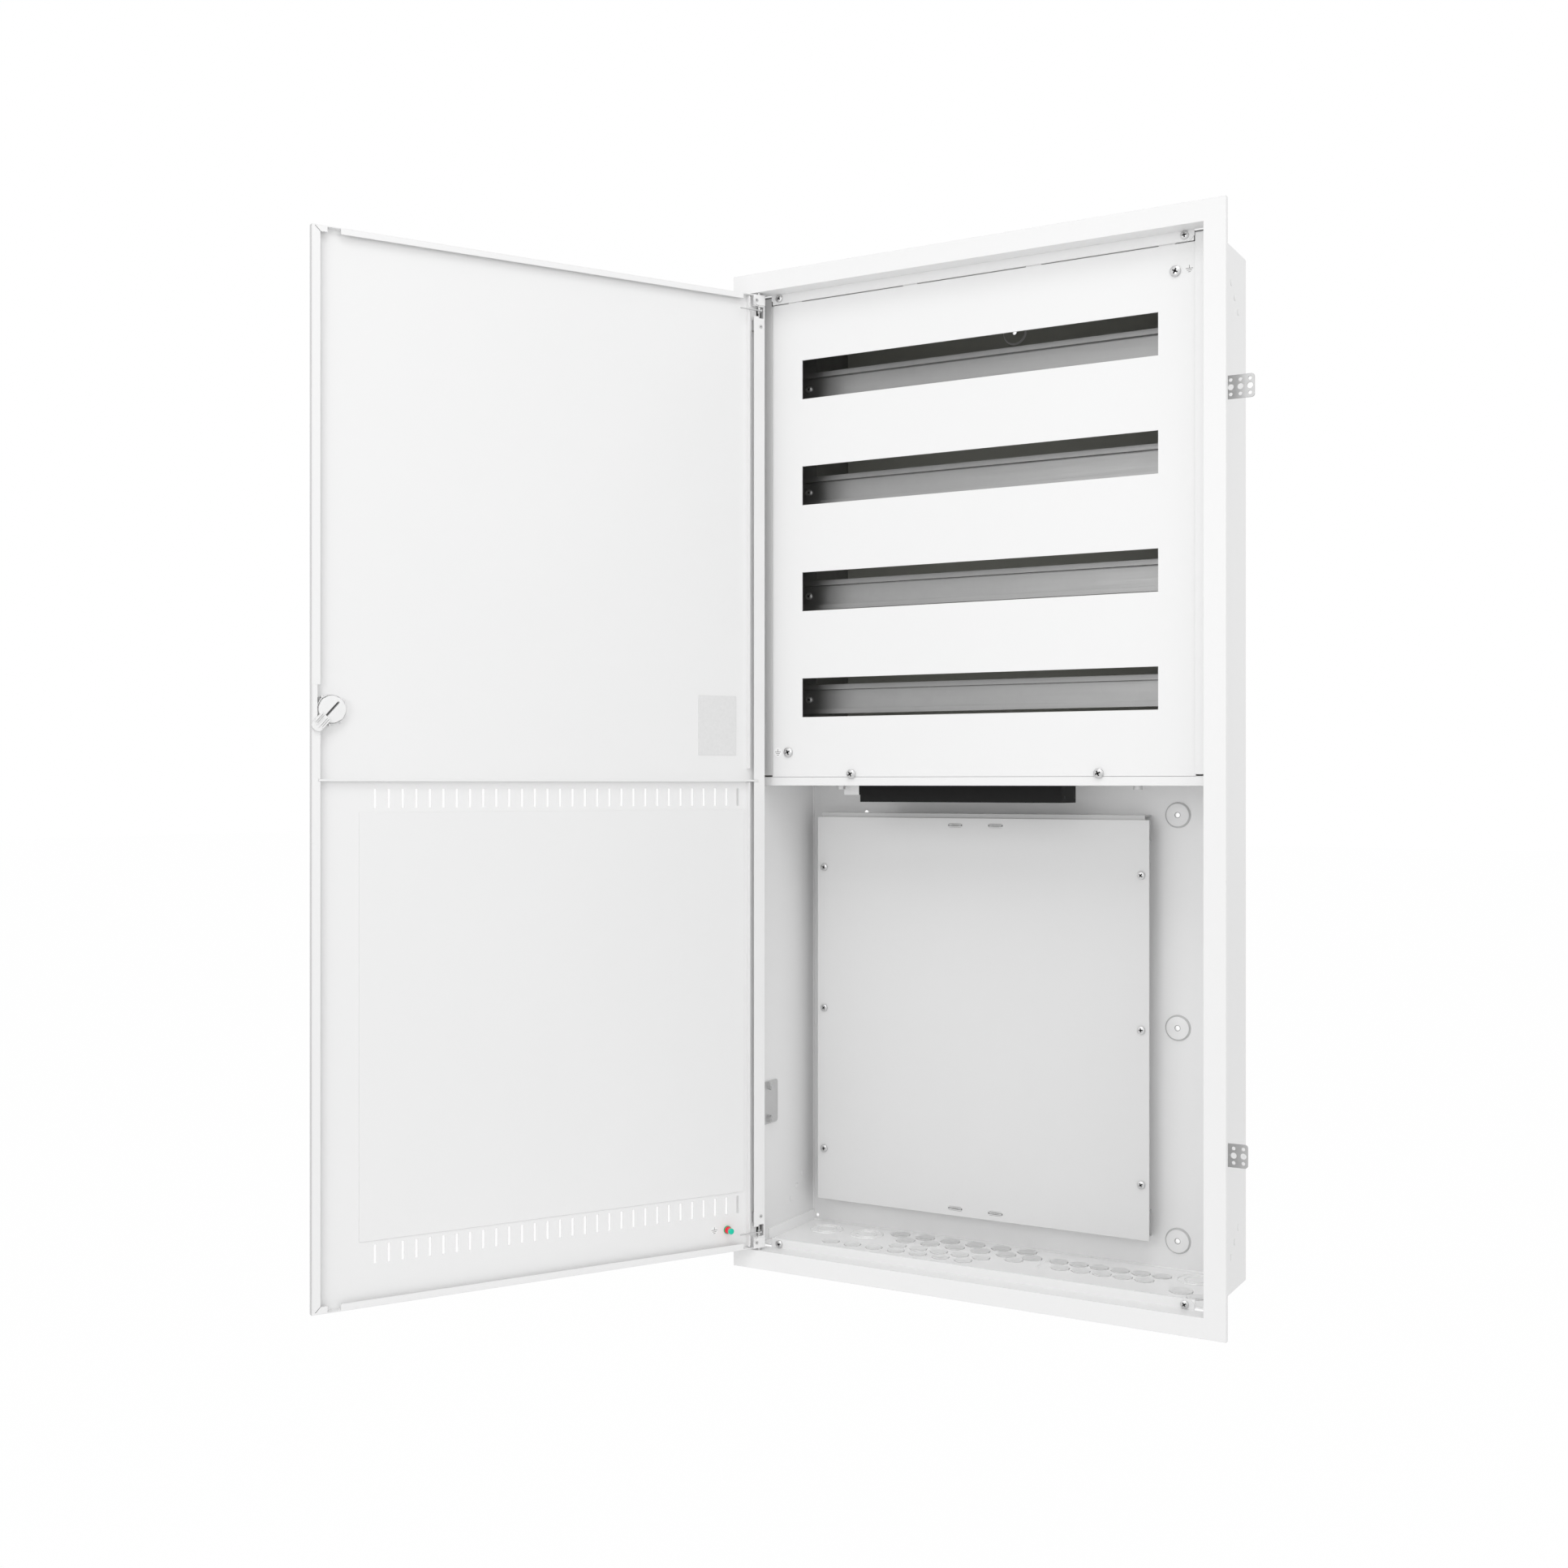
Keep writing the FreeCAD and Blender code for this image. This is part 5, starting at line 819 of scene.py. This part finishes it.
def brushes():
    # each brush is a comb of three-sided bristles that lie front to back
    low, high = (np.array(corner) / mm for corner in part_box("cable_entry_brushes"))
    random = np.random.default_rng(bristles["seed"])
    middle = (low[1] + high[1]) / 2
    x = np.arange(low[0] + 0.5, high[0] - 0.4, bristles["pitch"])
    z = np.linspace(low[2] + 0.5, high[2] - 0.5, bristles["rows"])
    x, z = (grid.reshape(-1) for grid in np.meshgrid(x, z))
    angle = np.radians([90, 210, 330])
    ringOf = np.stack([np.cos(angle), 0 * angle, np.sin(angle)], -1) * bristles["thick"]
    parts = []
    for root, tip in ((low[1], middle - bristles["gap"]), (high[1], middle + bristles["gap"])):
        foot = np.stack([x + random.uniform(-0.2, 0.2, len(x)), 0 * x + root, z], -1)
        end = foot + np.stack([random.uniform(-0.5, 0.5, len(x)),
                               tip - root + random.uniform(-0.6, 0.6, len(x)),
                               random.uniform(-0.3, 0.3, len(x))], -1)
        rows = np.stack([np.repeat(foot[:, None], 3, axis=1), foot[:, None] + ringOf, end[:, None] + ringOf,
                         np.repeat(end[:, None], 3, axis=1)], 1)
        points = rows.reshape(-1, 3)
        one = cells(4, 3)
        faces = (one[None] + 12 * np.arange(len(foot))[:, None, None]).reshape(-1, 4)
        parts.append((points, faces))
    makePiece("brushBristles", parts, finishes["brush_fibre"], "cabinet",
              ("cable_entry_brushes",))
    # the notches in the entry frame are dark bars, painted shade
    notches = []
    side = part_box("cable_entry_frame")[1][0] / mm
    for y in entryNotch["places"]:
        start = np.array([side, y, entryNotch["height"]])
        notches.append(bar(start, start + (0, entryNotch["length"], 0), entryNotch["width"],
                           entryNotch["depth"], ((0, 1, 0), (0, 0, 1), (1, 0, 0))))
    makePiece("entryNotchShade", notches, paintedShadeBlack, "cabinet")


sheets = {"coverTop": 550.75, "coverRaise": 2.5, "coverLower": 0.8,
          "stripEdge": 257.6, "stripOverlap": 2.2, "stripCut": 5.0,
          "slitEdge": 255.2, "slitFar": 270.8, "slitPlane": -133.6, "slitWidth": 0.9, "slitThick": 0.2}


def roundedSheets():
    # the cover and its side strips with rounded edges, closed up against each other
    def taller(points):
        points[:, 2] += np.where(abs(points[:, 2] - sheets["coverTop"]) < 0.05, sheets["coverRaise"], 0)
        points[:, 2] -= np.where(abs(points[:, 2] - points[:, 2].min()) < 0.05, sheets["coverLower"], 0)
        return points

    def wider(points):
        corner = abs(abs(points[:, 0]) - sheets["stripEdge"] - sheets["stripCut"]) < 0.05
        corner &= points[:, 2] > 560
        points[:, 0] -= np.where(corner, np.sign(points[:, 0]) * (sheets["stripCut"] - 0.2), 0)
        edge = abs(abs(points[:, 0]) - sheets["stripEdge"]) < 0.3
        points[:, 0] -= np.where(edge, np.sign(points[:, 0]) * sheets["stripOverlap"], 0)
        return points

    # the slits beside the side strips are dark bars, painted shade
    slits = []
    for side in (-1, 1):
        edge, back = side * sheets["slitEdge"], sheets["slitPlane"]
        far = side * sheets["slitFar"]
        cuts = (((edge, back, 552.4), (edge, back, 562.4)), ((edge, back, 562.5), (far, back, 562.5)))
        for start, end in cuts:
            slits.append(bar(start, end, sheets["slitWidth"], sheets["slitThick"], cabinetFront))
    makePiece("stripSlitShade", slits, paintedShadeBlack, "cabinet")
    remade("module_cover", taller)
    remade("side_strip_right", wider)
    remade("side_strip_left", wider)


# a near-white painted highlight for the box seams and the floor slots
paintedHighlight = powderCoat("paintedHighlight", 0.98, 0.3)
rivetPaint = powderCoat("rivetPaint", 0.62, 0.35)
# grey painted as shade in slits, grooves and round holes
slitShade = powderCoat("slitShade", 0.40, 0.6)
# grey painted as shade on the sloping sides of the fixing pads
rampShade = powderCoat("rampShade", 0.62, 0.35)
# near-black painted as shade at the bottoms of slots
slotShade = powderCoat("slotShade", 0.10, 0.6)
# knockout discs painted darker towards the rear, as painted shade
knockoutShades = (powderCoat("knockoutRear", 0.72, 0.3), powderCoat("knockoutMiddle", 0.77, 0.3),
                 powderCoat("knockoutFront", 0.83, 0.3))
roundedSheets()
screws()
hingeRivets()
hingeWindowShades()
springs()
slotTabs()
print("sheets and screws made")
fixingBosses()
knockoutDiscs()
boxSeamHighlights()
sideDimples()
print("pressings made")
earthSigns()
latchPieces()
earthPieces()
brushes()
print("latch, earth point and brushes made")

# floor, light and camera
ground = {"side": 40, "below": 0.9, "glow": 0.93, "strength": 1.01}


def stage():
    floor = bpy.data.meshes.new("floor")
    side, low = ground["side"], cadBox[0][2] - ground["below"]
    floor.from_pydata([(-side, -side, low), (side, -side, low), (side, side, low), (-side, side, low)],
                      [], [(0, 1, 2, 3)])
    piece = bpy.data.objects.new("floor", floor)
    scene.collection.objects.link(piece)
    paint = Paint("paleFloor")
    paint.set(Base_Color=grey(0.92), Roughness=0.9)
    path = paint.tree.nodes.new("ShaderNodeLightPath")
    seen = Socket(paint, path.outputs["Is Camera Ray"])
    glow = paint.node("ShaderNodeEmission", {}, grey(1.0), ground["strength"])
    lit = Socket(paint, paint.shader.outputs[0])
    both = paint.node("ShaderNodeMixShader", {}, seen * ground["glow"], lit, glow)
    paint.tree.links.new(both.socket, paint.tree.nodes["Material Output"].inputs["Surface"])
    piece.data.materials.append(paint.material)


light = {"world": 0.84, "background": 1.0}
lamps = (  # name, place, target, size, watts
    ("keyLamp", (-0.3, -2.8, 0.6), (0.0, 0.0, 0.0), 1.0, 8),
    ("topLamp", (0.7, -2.2, 2.9), (0.0, 0.0, 0.0), 1.5, 20),
    ("sideLamp", (2.6, -1.4, 1.2), (0.0, 0.0, 0.0), 2.0, 6),
)


def lights():
    world = scene.world or bpy.data.worlds.new("studio")
    scene.world = world
    world.use_nodes = True
    tree = world.node_tree
    back = tree.nodes["Background"]
    path = tree.nodes.new("ShaderNodeLightPath")
    plain = path.outputs["Is Camera Ray"]
    for other in ("Is Glossy Ray", "Is Transmission Ray"):
        both = tree.nodes.new("ShaderNodeMath")
        both.operation = "MAXIMUM"
        tree.links.new(plain, both.inputs[0])
        tree.links.new(path.outputs[other], both.inputs[1])
        plain = both.outputs[0]
    level = tree.nodes.new("ShaderNodeMapRange")
    level.inputs["To Min"].default_value = light["world"]
    level.inputs["To Max"].default_value = light["background"]
    tree.links.new(plain, level.inputs["Value"])
    tree.links.new(level.outputs["Result"], back.inputs["Strength"])
    back.inputs["Color"].default_value = (1, 1, 1, 1)
    for name, place, target, size, power in lamps:
        lamp = bpy.data.lights.new(name, "AREA")
        lamp.shape = "DISK"
        lamp.size = size
        lamp.energy = power
        piece = bpy.data.objects.new(name, lamp)
        scene.collection.objects.link(piece)
        piece.location = place
        away = np.array(place) - np.array(target)
        tilt = math.atan2(math.hypot(away[0], away[1]), away[2])
        piece.rotation_euler = (tilt, 0, math.atan2(away[1], away[0]) + math.pi / 2)


view = {"place": (0.7971, -1.9505, -0.0155), "turn": 29.70, "lens": 40.52}


def camera():
    lens = bpy.data.cameras.new("camera")
    lens.sensor_width = 36
    lens.lens = view["lens"]
    lens.clip_end = 200
    piece = bpy.data.objects.new("camera", lens)
    scene.collection.objects.link(piece)
    piece.location = view["place"]
    piece.rotation_euler = (math.pi / 2, 0, math.radians(view["turn"]))
    scene.camera = piece
    scene.view_settings.view_transform = "Standard"


stage()
lights()
camera()
print("stage, lights and camera set")
